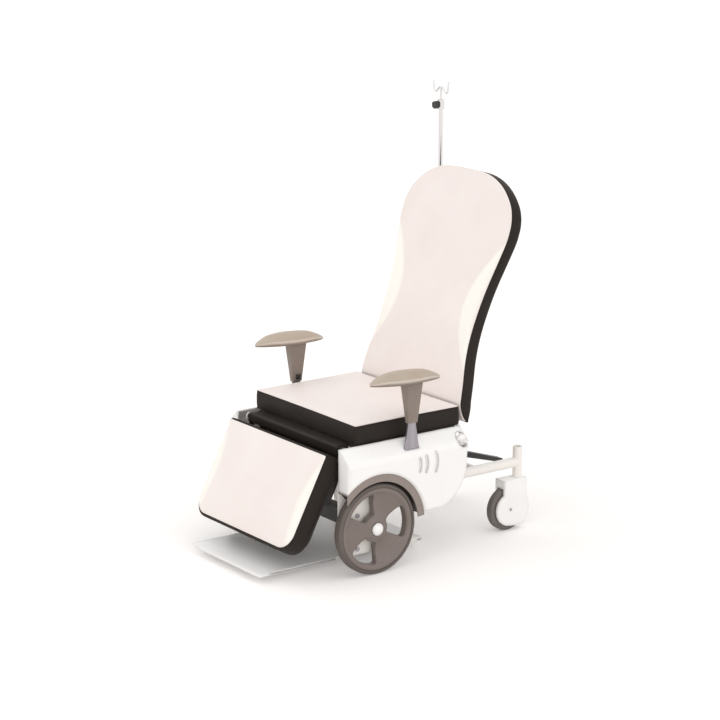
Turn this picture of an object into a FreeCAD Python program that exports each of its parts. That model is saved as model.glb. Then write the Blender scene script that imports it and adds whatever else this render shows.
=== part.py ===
"""Patient transport chair: a parametric document in millimetres.

The chair faces -Y, +X is the patient's left and the wheels stand on z = 0.
"""
import FreeCAD
import Part
import Sketcher

import math
import os
from types import SimpleNamespace

from FreeCAD import Placement, Rotation, Vector

# Driving dimensions. Lengths along Y are counted from the middle of the chair's length.
SIZES = {
    # Fits, and how far a cutting tool runs past the face it cuts
    "running_gap": 0.05,
    "slide_gap": 0.3,
    "overrun": 1.0,
    # Seat width and what stands beside it
    "seat_width": 563.0,
    "cover_gap": 4.5,
    "wheel_gap": 28.0,
    "arm_gap": 37.0,
    "frame_inset": 66.5,
    "pole_gap": 28.5,
    "back_inset": 6.5,
    "leg_inset": 6.5,
    # Front wheels
    "wheel_radius": 150.0,
    "tyre_width": 36.0,
    "tyre_depth": 13.0,
    "tyre_shoulder": 9.0,
    "axle_y": -194.0,
    "axle_radius": 10.0,
    "axle_end_gap": 2.0,
    "axle_flange_radius": 17.0,
    "axle_flange_depth": 4.0,
    "bearing_radius": 21.0,
    "bearing_inset": 4.0,
    "hub_radius": 30.0,
    "hub_reach_in": 22.0,
    "hub_reach_out": 14.0,
    "rim_band": 19.0,
    "rim_lip": 1.0,
    "rim_bevel": 3.0,
    "web_thickness": 9.0,
    "web_root": 6.0,
    "web_dish_radius": 112.0,
    "window_inner_radius": 45.0,
    "window_round": 9.0,
    "window_corner": 10.0,
    "window_half_angle": 28.0,
    "window_head_angle": 23.0,
    "window_foot_angle": 20.0,
    "window_turn": 3.0,
    "cap_radius": 21.0,
    "cap_height": 11.0,
    "cap_dome": 34.0,
    "cap_edge": 3.0,
    "cap_rim": 2.0,
    # Front axle
    "beam_height": 52.0,
    "beam_depth": 40.0,
    "beam_wall": 4.0,
    "plate_thickness": 6.0,
    "plate_front": 122.0,
    "plate_rear": 54.0,
    "plate_low": 63.0,
    "plate_top": 330.0,
    "plate_corner": 24.0,
    "bolt_radius": 7.0,
    "bolt_height": 5.0,
    "bolt_front": 50.0,
    "bolt_rear": 28.0,
    "bolt_drop": 68.0,
    "bolt_rise": 44.0,
    # Frame
    "upright_width": 30.0,
    "rail_radius": 17.0,
    "rail_z": 230.0,
    "post_y": 477.0,
    "post_radius": 16.0,
    "post_bore": 11.0,
    "post_low": 178.0,
    "post_top": 284.0,
    "stem_room": 3.0,
    "socket_depth": 36.0,
    "rear_upright_y": 140.0,
    "cross_radius": 13.0,
    "rear_cross_y": 300.0,
    "mid_cross_y": 30.0,
    "lug_thickness": 6.0,
    "lug_half": 12.0,
    # Seat
    "seat_frame_low": 372.0,
    "seat_frame_height": 40.0,
    "seat_frame_front": -252.0,
    "seat_frame_rear": 200.0,
    "seat_frame_wall": 30.0,
    "board_thickness": 12.0,
    "board_inset": 6.0,
    "seat_front": -248.0,
    "seat_rear": 173.0,
    "seat_height": 60.0,
    "seat_corner": 16.0,
    "seat_draw_in": 3.0,
    "seat_edge_round": 4.0,
    "panel_inset": 5.0,
    "panel_edge": 3.0,
    "seat_crown": 9.0,
    "apron_inset": 23.0,
    "apron_front": -299.0,
    "apron_low": 390.0,
    "apron_top": 426.0,
    "apron_round": 14.0,
    # Side covers
    "cover_width": 57.0,
    "cover_wall": 3.5,
    "cover_front": -317.0,
    "cover_top": 424.0,
    "cover_low": 178.0,
    "cover_low_end": 58.0,
    "cover_rear": 168.0,
    "cover_rear_lean": 8.0,
    "cover_rear_turn": 330.0,
    "cover_rear_round": 150.0,
    "shoulder_start": 4.0,
    "shoulder_share": 0.68,
    "shoulder_run": 44.0,
    "shoulder_clear": 35.0,
    "shoulder_reach": 5.0,
    "cover_edge": 7.5,
    "arch_gap": 33.0,
    "liner_wall": 3.0,
    "liner_band": 25.0,
    "liner_reach": 50.0,
    "liner_angle": 170.0,
    "vent_width": 7.0,
    "vent_bow": 70.0,
    "vent_depth": 24.0,
    "vent_z": 338.0,
    "vent_front_y": -35.0,
    "vent_front_height": 43.0,
    "vent_mid_y": -10.0,
    "vent_mid_height": 54.0,
    "vent_rear_y": 29.0,
    "vent_rear_height": 63.0,
    # Armrests
    "arm_y": -56.0,
    "blade_thickness": 6.0,
    "blade_width": 31.0,
    "blade_foot_width": 56.0,
    "blade_foot_top": 396.0,
    "blade_neck": 470.0,
    "blade_top": 590.0,
    "blade_slot_gap": 1.0,
    "sleeve_low": 480.0,
    "sleeve_top": 612.0,
    "sleeve_low_length": 39.0,
    "sleeve_top_length": 68.0,
    "sleeve_low_width": 24.0,
    "sleeve_top_width": 42.0,
    "sleeve_corner": 9.0,
    "button_z": 497.0,
    "button_half": 9.0,
    "button_depth": 9.5,
    "button_stop": 4.5,
    "button_round": 2.0,
    "arm_pad_length": 274.0,
    "arm_pad_width": 80.0,
    "arm_pad_rise": 43.0,
    "arm_pad_centre": -83.0,
    # Casters
    "caster_radius": 75.0,
    "caster_tyre_width": 28.0,
    "caster_tread": 6.0,
    "caster_tread_round": 8.0,
    "caster_core_radius": 58.0,
    "caster_hub_radius": 16.0,
    "caster_hub_root": 20.0,
    "caster_dish": 6.0,
    "caster_rim_lip": 1.0,
    "caster_rim_band": 8.0,
    "caster_rim_edge": 5.0,
    "caster_trail": 48.0,
    "caster_cheek_radius": 57.0,
    "caster_fender_radius": 81.0,
    "caster_fender_reach": 20.0,
    "caster_width": 54.0,
    "caster_edge": 5.0,
    "caster_slot_gap": 2.0,
    "caster_neck_low": 118.0,
    "caster_neck_front": 26.0,
    "caster_neck_rear": 22.0,
    "caster_guard_low": 16.0,
    "caster_axle_radius": 5.0,
    "caster_stem_length": 62.0,
    "caster_stem_root": 8.0,
    # Backrest
    "back_pivot_y": 222.0,
    "back_pivot_z": 394.0,
    "back_low": 423.0,
    "back_face_low": 490.0,
    "back_face_turn": 750.0,
    "back_top": 1222.0,
    "back_y_tip": 212.0,
    "back_y_low": 179.0,
    "back_y_turn": 262.0,
    "back_y_top": 421.0,
    "back_low_bow": 1780.0,
    "back_high_bow": 5400.0,
    "back_tip_bow": 95.0,
    "back_tip_depth": 8.0,
    "back_tip_rear_bow": 160.0,
    "back_top_trim": 2.0,
    "back_reach": 300.0,
    "back_panel": 6.0,
    "back_foam": 46.0,
    "back_shell": 8.0,
    "shell_inset": 14.0,
    "shell_rise": 10.0,
    "waist_inset": 14.0,
    "back_z_waist_low": 580.0,
    "back_z_waist_high": 890.0,
    "waist_bow": 690.0,
    "neck_length": 100.0,
    "shoulder_bow": 200.0,
    "head_bow": 135.0,
    "bolster_width": 74.0,
    "bolster_height": 15.0,
    "panel_flat": 1.5,
    "panel_low": 432.0,
    "panel_sink": 2.0,
    "arm_plate_inset": 33.0,
    "arm_plate_thickness": 8.0,
    "arm_plate_width": 30.0,
    "arm_plate_end": 10.0,
    "arm_plate_drop": 6.0,
    "arm_plate_gap": 25.0,
    "tie_rise": 60.0,
    "tie_gap": 4.0,
    "hinge_gap": 1.5,
    "hinge_lug": 19.0,
    "hinge_ear": 16.0,
    "hinge_pin_radius": 6.0,
    "hinge_pin_end": 2.0,
    "handle_half": 105.0,
    "handle_radius": 11.0,
    "handle_low": 930.0,
    "handle_top": 1070.0,
    "handle_sink": 2.0,
    "handle_knee_rise": 18.0,
    "handle_knee_out": 34.0,
    "handle_standoff": 62.0,
    "handle_bend": 34.0,
    "handle_foot_bend": 20.0,
    "grip_radius": 15.0,
    "grip_half": 66.0,
    # Legrest
    "leg_pivot_y": -280.0,
    "leg_pivot_z": 403.0,
    "leg_lean_angle": 27.6,
    "leg_length": 338.0,
    "leg_top_drop": 24.4,
    "leg_face": 68.4,
    "leg_board": 10.0,
    "leg_board_inset": 12.0,
    "leg_foam": 62.0,
    "leg_panel": 4.0,
    "leg_crown": 8.0,
    "leg_corner": 60.0,
    "leg_panel_inset": 5.0,
    "leg_arm_inset": 17.0,
    "leg_arm_thickness": 6.0,
    "leg_arm_width": 34.0,
    "leg_arm_length": 150.0,
    "leg_arm_shoulder": 20.0,
    "leg_arm_sink": 2.0,
    "leg_ear": 15.0,
    "leg_pin_radius": 6.0,
    "leg_pin_end": 1.0,
    # Foot platform
    "platform_front": -561.0,
    "platform_rear": 87.0,
    "platform_low": 24.0,
    "platform_thickness": 10.0,
    "platform_corner": 8.0,
    "guide_front": -264.0,
    "guide_rear": 62.0,
    "guide_tongue": 6.0,
    "guide_tongue_height": 3.0,
    "guide_wall": 3.0,
    "guide_over": 3.0,
    "hanger_width": 30.0,
    "hanger_bite": 2.5,
    "groove_start": 40.0,
    # Infusion pole
    "pole_y": 549.0,
    "pole_radius": 8.0,
    "pole_bend_low": 312.0,
    "pole_bend_high": 428.0,
    "pole_bend_radius": 45.0,
    "pole_top": 1378.0,
    "pole_bore_low": 880.0,
    "spigot_rise": 6.0,
    "collar_radius": 13.0,
    "collar_height": 34.0,
    "collar_over": 12.0,
    "rod_radius": 5.0,
    "rod_low": 900.0,
    "rod_over": 42.0,
    "hook_half": 42.0,
    "hook_tip": 7.0,
    "hook_root": 8.0,
    "hook_rise": 34.0,
    "hook_dip": 17.0,
    "hook_crest": 14.0,
    "hook_bend": 9.0,
    "hook_radius": 3.5,
    "knob_radius": 13.0,
    "knob_length": 16.0,
    "knob_gap": 1.0,
    "knob_stem": 4.0,
    "knob_flute": 3.5,
    "knob_flute_out": 1.5,
    # Pedal and lever
    "pedal_x": 70.0,
    "pedal_pivot_z": 262.0,
    "pedal_length": 222.0,
    "pedal_drop": 66.0,
    "pedal_width": 30.0,
    "pedal_thickness": 15.0,
    "pedal_hub": 11.25,
    "pedal_nose": 6.0,
    "pedal_nose_bow": 7.0,
    "pedal_nose_drop": 2.0,
    "pedal_pin_radius": 5.0,
    "lever_y": 147.0,
    "lever_z": 388.0,
    "lever_radius": 20.0,
    "lever_gap": 1.5,
    "lever_shaft": 5.0,
    "lever_shaft_inset": 4.0,
    "lever_disc": 10.0,
    "lever_sink": 14.0,
    "lever_tab_depth": 14.0,
    "lever_tab_sink": 2.0,
    "lever_tab_inset": 4.0,
    "lever_tab_drop": 6.0,
    "lever_tab_rise": 1.0,
}


class Size:
    """A length that carries its number and the sheet expression which gives it."""

    def __init__(self, value, text):
        self.value = value
        self.text = text

    def __add__(self, other):
        other = as_size(other)
        return Size(self.value + other.value, f"({self.text} + {other.text})")

    def __sub__(self, other):
        other = as_size(other)
        return Size(self.value - other.value, f"({self.text} - {other.text})")

    def __rsub__(self, other):
        return as_size(other) - self

    def __mul__(self, other):
        other = as_size(other)
        return Size(self.value * other.value, f"({self.text} * {other.text})")

    def __truediv__(self, other):
        other = as_size(other)
        return Size(self.value / other.value, f"({self.text} / {other.text})")

    def __neg__(self):
        return Size(-self.value, f"(0 - {self.text})")

    def __float__(self):
        return self.value

    def root(self):
        return Size(math.sqrt(self.value), f"sqrt({self.text})")

    __radd__ = __add__
    __rmul__ = __mul__


def as_size(item):
    return item if isinstance(item, Size) else Size(float(item), f"{float(item):.6f}")


doc = FreeCAD.newDocument("patient_transport_chair")
sheet = doc.addObject("Spreadsheet::Sheet", "Sizes")
for row, (alias, number) in enumerate(SIZES.items(), start=1):
    sheet.set(f"A{row}", alias)
    sheet.set(f"B{row}", str(number))
    sheet.setAlias(f"B{row}", alias)
doc.recompute()
s = SimpleNamespace(**{alias: Size(float(sheet.get(alias)), f"Sizes.{alias}") for alias in SIZES})

nodes = []


def keep(thing, label):
    """Names a finished sub-part and puts it on the list of files to write."""
    thing.Label = label
    nodes.append(thing)
    return thing


def bind(thing, **sizes):
    for name, item in sizes.items():
        thing.setExpression(name, as_size(item).text)


def place(thing, x, y, z):
    for axis, item in zip("xyz", (x, y, z)):
        thing.setExpression(f"Placement.Base.{axis}", as_size(item).text)
    return thing


# Solids from primitives

def box(x0, x1, y0, y1, z0, z1):
    made = doc.addObject("Part::Box", "Box")
    bind(made, Length=as_size(x1) - x0, Width=as_size(y1) - y0, Height=as_size(z1) - z0)
    return place(made, x0, y0, z0)


AXIS_TURNS = {
    "X": Rotation(Vector(0, 1, 0), 90),
    "Y": Rotation(Vector(1, 0, 0), -90),
    "Z": Rotation(),
}


def rod(axis, radius, length, x, y, z):
    """A cylinder that starts at (x, y, z) and runs along +axis."""
    made = doc.addObject("Part::Cylinder", "Rod")
    made.Placement = Placement(Vector(), AXIS_TURNS[axis])
    bind(made, Radius=radius, Height=length)
    return place(made, x, y, z)


def fuse(*things):
    made = doc.addObject("Part::MultiFuse", "Fuse")
    made.Shapes = list(things)
    made.Refine = True
    return made


def cut(base, *tools):
    for tool in tools:
        made = doc.addObject("Part::Cut", "Cut")
        made.Base = base
        made.Tool = tool
        made.Refine = True
        base = made
    return base


def common(*things):
    made = doc.addObject("Part::MultiCommon", "Common")
    made.Shapes = list(things)
    made.Refine = True
    return made


def mirrored(source, label):
    """The same piece on the other side of the chair."""
    made = doc.addObject("Part::Mirroring", "Mirror")
    made.Source = source
    made.Normal = Vector(1, 0, 0)
    made.Base = Vector(0, 0, 0)
    return keep(made, label)


def rounded(source, radius, wanted):
    """Rounds the edges of a solid for which wanted(edge) is true."""
    doc.recompute()
    made = doc.addObject("Part::Fillet", "Fillet")
    made.Base = source
    amount = float(radius)
    made.Edges = [(i, amount, amount) for i, edge in enumerate(source.Shape.Edges, 1) if wanted(edge)]
    return made


def feature(shape):
    made = doc.addObject("Part::Feature", "Feature")
    made.Shape = shape
    return made


# Solids from sketches

def sketch(body, plane, shift=0.0):
    """A sketch on one of the body's origin planes, moved along the plane's normal by shift."""
    support = next(item for item in body.Origin.OriginFeatures if item.Role == f"{plane}_Plane")
    made = body.newObject("Sketcher::SketchObject", "Sketch")
    made.AttachmentSupport = [(support, "")]
    made.MapMode = "FlatFace"
    made.setExpression("AttachmentOffset.Base.z", as_size(shift).text)
    return made


def arc_between(start, end, radius):
    """The arc under a half circle from start to end; a positive radius turns left."""
    chord = end - start
    middle = (start + end) * 0.5
    left = Vector(-chord.y, chord.x, 0).normalize()
    height = math.sqrt(radius * radius - chord.Length ** 2 / 4)
    centre = middle + left * math.copysign(height, radius)
    first, last = (start, end) if radius > 0 else (end, start)
    angles = [math.atan2(p.y - centre.y, p.x - centre.x) for p in (first, last)]
    return Part.ArcOfCircle(Part.Circle(centre, Vector(0, 0, 1), abs(radius)), *angles)


def outline(made, points):
    """Draws a closed chain of lines and arcs with every corner bound to the sheet.

    A corner is (u, v), or (u, v, radius) where an arc leaves it for the next corner.
    """
    corners = [Vector(float(point[0]), float(point[1]), 0) for point in points]
    heads, tails, radii = [], [], {}
    for i, point in enumerate(points):
        start, end = corners[i], corners[(i + 1) % len(points)]
        turns_right = False
        if len(point) == 3:
            radius = as_size(point[2])
            turns_right = radius.value < 0
            radii[i] = -radius if turns_right else radius
            made.addGeometry(arc_between(start, end, radius.value))
        else:
            made.addGeometry(Part.LineSegment(start, end))
        heads.append(2 if turns_right else 1)
        tails.append(1 if turns_right else 2)
    limits, texts = [], {}
    for i, point in enumerate(points):
        after = (i + 1) % len(points)
        limits.append(Sketcher.Constraint("Coincident", i, tails[i], after, heads[after]))
    for i, point in enumerate(points):
        for kind, item in (("DistanceX", point[0]), ("DistanceY", point[1])):
            texts[len(limits)] = as_size(item).text
            limits.append(Sketcher.Constraint(kind, -1, 1, i, heads[i], float(item)))
    for i, radius in radii.items():
        texts[len(limits)] = radius.text
        limits.append(Sketcher.Constraint("Radius", i, radius.value))
    made.addConstraint(limits)
    for index, text in texts.items():
        made.setExpression(f"Constraints[{index}]", text)
    return made


def new_body():
    return doc.addObject("PartDesign::Body", "Body")


def padded(body, drawn, length):
    made = body.newObject("PartDesign::Pad", "Pad")
    made.Profile = drawn
    bind(made, Length=length)
    return made


def slab(plane, shift, thickness, points):
    """A plate with the given outline: from shift along +Z on XY, +X on YZ and -Y on XZ."""
    body = new_body()
    padded(body, outline(sketch(body, plane, shift), points), thickness)
    return body


def turned(points, angle=360.0):
    """A body of revolution about X; the corners are (x, radius)."""
    body = new_body()
    drawn = outline(sketch(body, "XZ"), points)
    made = body.newObject("PartDesign::Revolution", "Revolution")
    made.Profile = drawn
    made.ReferenceAxis = (drawn, ["H_Axis"])
    made.Midplane = True
    bind(made, Angle=angle)
    return body


def rounded_rectangle(u0, u1, v0, v1, corner):
    """Corners of a rectangle with quarter-circle corners, counter-clockwise."""
    return [
        (u0 + corner, v0), (u1 - corner, v0, corner),
        (u1, v0 + corner), (u1, v1 - corner, corner),
        (u1 - corner, v1), (u0 + corner, v1, corner),
        (u0, v1 - corner), (u0, v0 + corner, corner),
    ]


def loop_wire(points):
    """A closed wire of lines and three-point arcs: a corner is a point, or a point and the arc's middle."""
    edges = []
    for i, (corner, middle) in enumerate(points):
        after = points[(i + 1) % len(points)][0]
        if middle is None:
            edges.append(Part.LineSegment(corner, after).toShape())
        else:
            edges.append(Part.Arc(corner, middle, after).toShape())
    return Part.Wire(edges)


# Sizes that follow from the driving ones
seat_half = s.seat_width / 2
plate_out = seat_half + s.cover_gap
plate_in = plate_out - s.plate_thickness
wheel_x = plate_out + s.wheel_gap
arm_x = plate_out + s.arm_gap
cover_face = plate_out + s.cover_width
frame_x = seat_half - s.frame_inset
arch_radius = s.wheel_radius + s.arch_gap
back_half = seat_half - s.back_inset
arm_plate_x = frame_x - s.arm_plate_inset
leg_half = seat_half - s.leg_inset
leg_arm_x = leg_half - s.leg_arm_inset
platform_half = frame_x - s.rail_radius
rod_top = s.pole_top + s.rod_over
# The cover's shoulder line stays clear of the wheel arch.
shoulder_drop = s.cover_top - s.wheel_radius - arch_radius - s.shoulder_clear
# Front view of the backrest: every arc meets the next one on a common tangent.
waist_sine = (s.back_z_waist_high - s.back_z_waist_low) / s.waist_bow / 2
waist_cosine = (1 - waist_sine * waist_sine).root()
neck_x = back_half - s.waist_inset + s.neck_length * waist_sine
neck_z = s.back_z_waist_high + s.neck_length * waist_cosine
head_x = neck_x + s.shoulder_bow * (1 - waist_cosine)
head_z = neck_z + s.shoulder_bow * waist_sine
head_centre = head_x - s.head_bow
head_rise = s.back_top - head_z
head_reach = head_centre * head_centre + head_rise * head_rise
crown_bow = (head_reach - s.head_bow * s.head_bow) / (head_rise - s.head_bow) / 2
crown_sine = head_centre / (crown_bow - s.head_bow)
crown_cosine = (crown_bow - head_rise) / (crown_bow - s.head_bow)
crown_x = crown_bow * crown_sine
crown_z = s.back_top - crown_bow * (1 - crown_cosine)


# Front wheels and axle

def polar(radius, degrees):
    turn = math.radians(float(degrees))
    return radius * math.cos(turn), radius * math.sin(turn)


def window_outline(inner, outer):
    """One opening of the rim: straight flanks, rounded corners, arcs along hub and barrel."""
    edge, corner, turn = s.window_round, s.window_corner, s.window_turn
    flank, head, foot = s.window_half_angle, s.window_head_angle, s.window_foot_angle
    return [
        (*polar(inner, turn + foot), -corner), polar(inner + edge, turn + flank),
        (*polar(outer - edge, turn + flank), -corner), (*polar(outer, turn + head), -outer),
        (*polar(outer, turn - head), -corner), polar(outer - edge, turn - flank),
        (*polar(inner + edge, turn - flank), -corner), (*polar(inner, turn - foot), inner),
    ]


def front_wheels():
    half = s.tyre_width / 2
    rim_radius = s.wheel_radius - s.tyre_depth
    shoulder = s.tyre_shoulder
    tyre = turned([
        (-half, rim_radius), (half, rim_radius),
        (half, s.wheel_radius - shoulder, shoulder), (half - shoulder, s.wheel_radius),
        (shoulder - half, s.wheel_radius, shoulder), (-half, s.wheel_radius - shoulder),
    ])

    # The rim is one dished web between hub and barrel, pierced by three windows.
    outer = rim_radius - s.rim_band
    barrel = outer + s.web_thickness
    front, back = s.hub_reach_out, s.hub_reach_out - s.web_thickness
    side = half - s.rim_lip
    rim = turned([
        (-s.hub_reach_in, s.bearing_radius), (front, s.bearing_radius),
        (front, s.hub_radius, -s.web_dish_radius), (front - s.rim_lip, outer + s.rim_lip),
        (side, barrel - s.rim_bevel), (side, rim_radius), (-side, rim_radius), (-side, barrel),
        (back - s.rim_lip, barrel, s.web_dish_radius), (back - s.web_root, s.hub_radius),
        (-s.hub_reach_in, s.hub_radius),
    ])
    drawn = outline(sketch(rim, "YZ"), window_outline(s.window_inner_radius, outer))
    window = rim.newObject("PartDesign::Pocket", "Window")
    window.Profile = drawn
    window.Type = "ThroughAll"
    window.SideType = "Symmetric"
    doc.recompute()
    windows = rim.newObject("PartDesign::PolarPattern", "Windows")
    windows.Originals = [window]
    windows.Axis = (drawn, ["N_Axis"])
    windows.Angle = 360
    windows.Occurrences = 3
    rim.Tip = windows

    bore = s.axle_radius + s.running_gap
    inside, outside = s.bearing_inset - s.hub_reach_in, front - s.bearing_inset
    bearing = turned([
        (inside, bore), (outside, bore), (outside, s.bearing_radius), (inside, s.bearing_radius),
    ])
    cap = turned([
        (front, 0.0), (front + s.cap_height, 0.0, s.cap_dome),
        (front + s.cap_height - 2 * s.cap_edge, s.cap_radius - s.cap_rim, s.cap_edge),
        (front + s.cap_rim, s.cap_radius), (front, s.cap_radius),
    ])
    pieces = {"front_tyre": tyre, "front_rim": rim, "front_bearing": bearing, "axle_cap": cap}
    for name, piece in pieces.items():
        place(piece, wheel_x, s.axle_y, s.wheel_radius)
        keep(piece, f"{name}_left")
        mirrored(piece, f"{name}_right")


def front_axle():
    y0, y1 = s.axle_y - s.beam_depth / 2, s.axle_y + s.beam_depth / 2
    z0, z1 = s.wheel_radius - s.beam_height / 2, s.wheel_radius + s.beam_height / 2
    wall, past = s.beam_wall, plate_in + s.overrun
    hollow = box(-past, past, y0 + wall, y1 - wall, z0 + wall, z1 - wall)
    keep(cut(box(-plate_in, plate_in, y0, y1, z0, z1), hollow), "front_axle_beam")

    front, rear = s.axle_y - s.plate_front, s.axle_y + s.plate_rear
    edge = rounded_rectangle(front, rear, s.plate_low, s.plate_top, s.plate_corner)
    plate = keep(slab("YZ", plate_in, s.plate_thickness, edge), "wheel_plate_left")
    mirrored(plate, "wheel_plate_right")

    reach = wheel_x + s.hub_reach_out - s.axle_end_gap - plate_out
    stub = rod("X", s.axle_radius, reach, plate_out, s.axle_y, s.wheel_radius)
    flange = rod("X", s.axle_flange_radius, s.axle_flange_depth, plate_out, s.axle_y, s.wheel_radius)
    axle = keep(fuse(stub, flange), "front_axle_left")
    mirrored(axle, "front_axle_right")

    heads = []
    for y in (s.axle_y - s.bolt_front, s.axle_y + s.bolt_rear):
        for z in (s.wheel_radius - s.bolt_drop, s.wheel_radius + s.bolt_rise):
            for start in (plate_out, -plate_out - s.bolt_height):
                heads.append(rod("X", s.bolt_radius, s.bolt_height, start, y, z))
    keep(fuse(*heads), "plate_bolts")


# Welded frame

def frame():
    low = s.wheel_radius + s.beam_height / 2
    half = s.upright_width / 2
    x0, x1 = frame_x - half, frame_x + half
    rail_length = s.post_y - s.axle_y
    front = box(x0, x1, s.axle_y - s.beam_depth / 2, s.axle_y + s.beam_depth / 2, low, s.seat_frame_low)
    rail = rod("Y", s.rail_radius, rail_length, frame_x, s.axle_y, s.rail_z)
    rear = box(x0, x1, s.rear_upright_y - half, s.rear_upright_y + half, s.rail_z, s.seat_frame_low)
    post = rod("Z", s.post_radius, s.post_top - s.post_low, frame_x, s.post_y, s.post_low)
    # The post takes the caster's stem from below and an accessory from above, with a web between.
    stem_depth = s.caster_stem_length + s.stem_room
    stem_bore = rod("Z", s.post_bore, stem_depth + s.overrun, frame_x, s.post_y, s.post_low - s.overrun)
    socket = rod("Z", s.post_bore, s.socket_depth + s.overrun, frame_x, s.post_y, s.post_top - s.socket_depth)
    side = keep(cut(fuse(front, rail, rear, post), stem_bore, socket), "side_frame_left")
    mirrored(side, "side_frame_right")

    # Both cross tubes reach the middle of the side rails and are coped to them.
    rails = [rod("Y", s.rail_radius, rail_length, x, s.axle_y, s.rail_z) for x in (frame_x, -frame_x)]
    tubes = [
        rod("X", s.cross_radius, 2 * frame_x, -frame_x, y, s.rail_z) for y in (s.mid_cross_y, s.rear_cross_y)
    ]
    lug_in = s.pedal_width / 2 + s.hinge_gap
    y0, y1 = s.rear_cross_y - s.lug_half, s.rear_cross_y + s.lug_half
    lugs = [
        box(x, x + s.lug_thickness, y0, y1, s.rail_z, s.pedal_pivot_z + s.lug_half)
        for x in (s.pedal_x - lug_in - s.lug_thickness, s.pedal_x + lug_in)
    ]
    pin_half = lug_in + s.lug_thickness
    pin = rod(
        "X", s.pedal_pin_radius, 2 * pin_half, s.pedal_x - pin_half, s.rear_cross_y, s.pedal_pivot_z
    )
    keep(cut(fuse(*tubes, *lugs, pin), *rails), "cross_tubes")


# Seat

def seat_levels():
    board_low = s.seat_frame_low + s.seat_frame_height
    cushion_low = board_low + s.board_thickness
    return board_low, cushion_low, cushion_low + s.seat_height


def ears(inner, thickness, y, z, radius, joint_y):
    """Two flat lugs, left and right, that run from the frame at joint_y to a round end about a pin."""
    low, high = s.seat_frame_low, s.seat_frame_low + s.seat_frame_height
    y0, y1 = (y, joint_y) if float(y) < float(joint_y) else (joint_y, y)
    made = []
    for first in (inner, -inner - thickness):
        made.append(box(first, first + thickness, y0, y1, low, high))
        made.append(rod("X", radius, thickness, first, y, z))
    return made


def pin_pair(radius, inner, length, y, z):
    return [rod("X", radius, length, first, y, z) for first in (inner, -inner - length)]


def seat_frame():
    outer = frame_x + s.upright_width / 2
    inner = outer - s.seat_frame_wall
    low, high = s.seat_frame_low, s.seat_frame_low + s.seat_frame_height
    front, rear, wall = s.seat_frame_front, s.seat_frame_rear, s.seat_frame_wall
    under, over = low - s.overrun, high + s.overrun
    ring = box(-outer, outer, front, rear, low, high)
    windows = [
        box(-inner, inner, front + wall, s.arm_y - wall / 2, under, over),
        box(-inner, inner, s.arm_y + wall / 2, rear - wall, under, over),
    ]
    shaft_hole = rod(
        "X", s.lever_shaft + s.running_gap, wall + 2 * s.overrun, inner - s.overrun, s.lever_y, s.lever_z
    )
    # Ears at the back carry the backrest's pins, ears at the front on a cross yoke the legrest's.
    back_x = arm_plate_x + s.arm_plate_thickness + s.hinge_gap
    back_ears = ears(back_x, s.arm_plate_thickness, s.back_pivot_y, s.back_pivot_z, s.hinge_ear, rear - wall)
    leg_x = leg_arm_x + s.leg_arm_thickness + s.hinge_gap
    leg_ears = ears(leg_x, s.leg_arm_thickness, s.leg_pivot_y, s.leg_pivot_z, s.leg_ear, front + wall)
    reach = leg_x + s.leg_arm_thickness
    yoke = box(-reach, reach, front, front + wall, low, high)
    past = reach + s.overrun
    holes = [
        rod("X", s.hinge_pin_radius, 2 * past, -past, s.back_pivot_y, s.back_pivot_z),
        rod("X", s.leg_pin_radius, 2 * past, -past, s.leg_pivot_y, s.leg_pivot_z),
    ]
    keep(cut(fuse(cut(ring, *windows), *back_ears, *leg_ears, yoke), shaft_hole, *holes), "seat_frame")

    back_pin = 2 * s.arm_plate_thickness + s.hinge_gap + 2 * s.hinge_pin_end
    leg_pin = 2 * s.leg_arm_thickness + s.hinge_gap + 2 * s.leg_pin_end
    pins = pin_pair(
        s.hinge_pin_radius, arm_plate_x - s.hinge_pin_end, back_pin, s.back_pivot_y, s.back_pivot_z
    )
    pins += pin_pair(s.leg_pin_radius, leg_arm_x - s.leg_pin_end, leg_pin, s.leg_pivot_y, s.leg_pivot_z)
    keep(fuse(*pins), "hinge_pins")


# Shares of a crowned pad's length at which its sections stand, and of its crown left at both ends
CROWN_STATIONS = (0.0, 0.15, 0.5, 0.85, 1.0)
CROWN_AT_ENDS = 0.25
CROWN_FULLNESS = 0.7


def crown_share(share):
    return CROWN_AT_ENDS + (1 - CROWN_AT_ENDS) * math.sin(math.pi * share) ** CROWN_FULLNESS


def crowned_block(half, first, last, base, edge, crown):
    """A block crowned above both ways; sections across X are a base line, two sides and a top arc."""
    sections = []
    for share in CROWN_STATIONS:
        y = first + (last - first) * share
        top = base + edge
        peak = top + crown * crown_share(share)
        sections.append(loop_wire([
            (Vector(-half, y, base), None), (Vector(half, y, base), None),
            (Vector(half, y, top), Vector(0, y, peak)), (Vector(-half, y, top), None),
        ]))
    return Part.makeLoft(sections, True)


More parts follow.
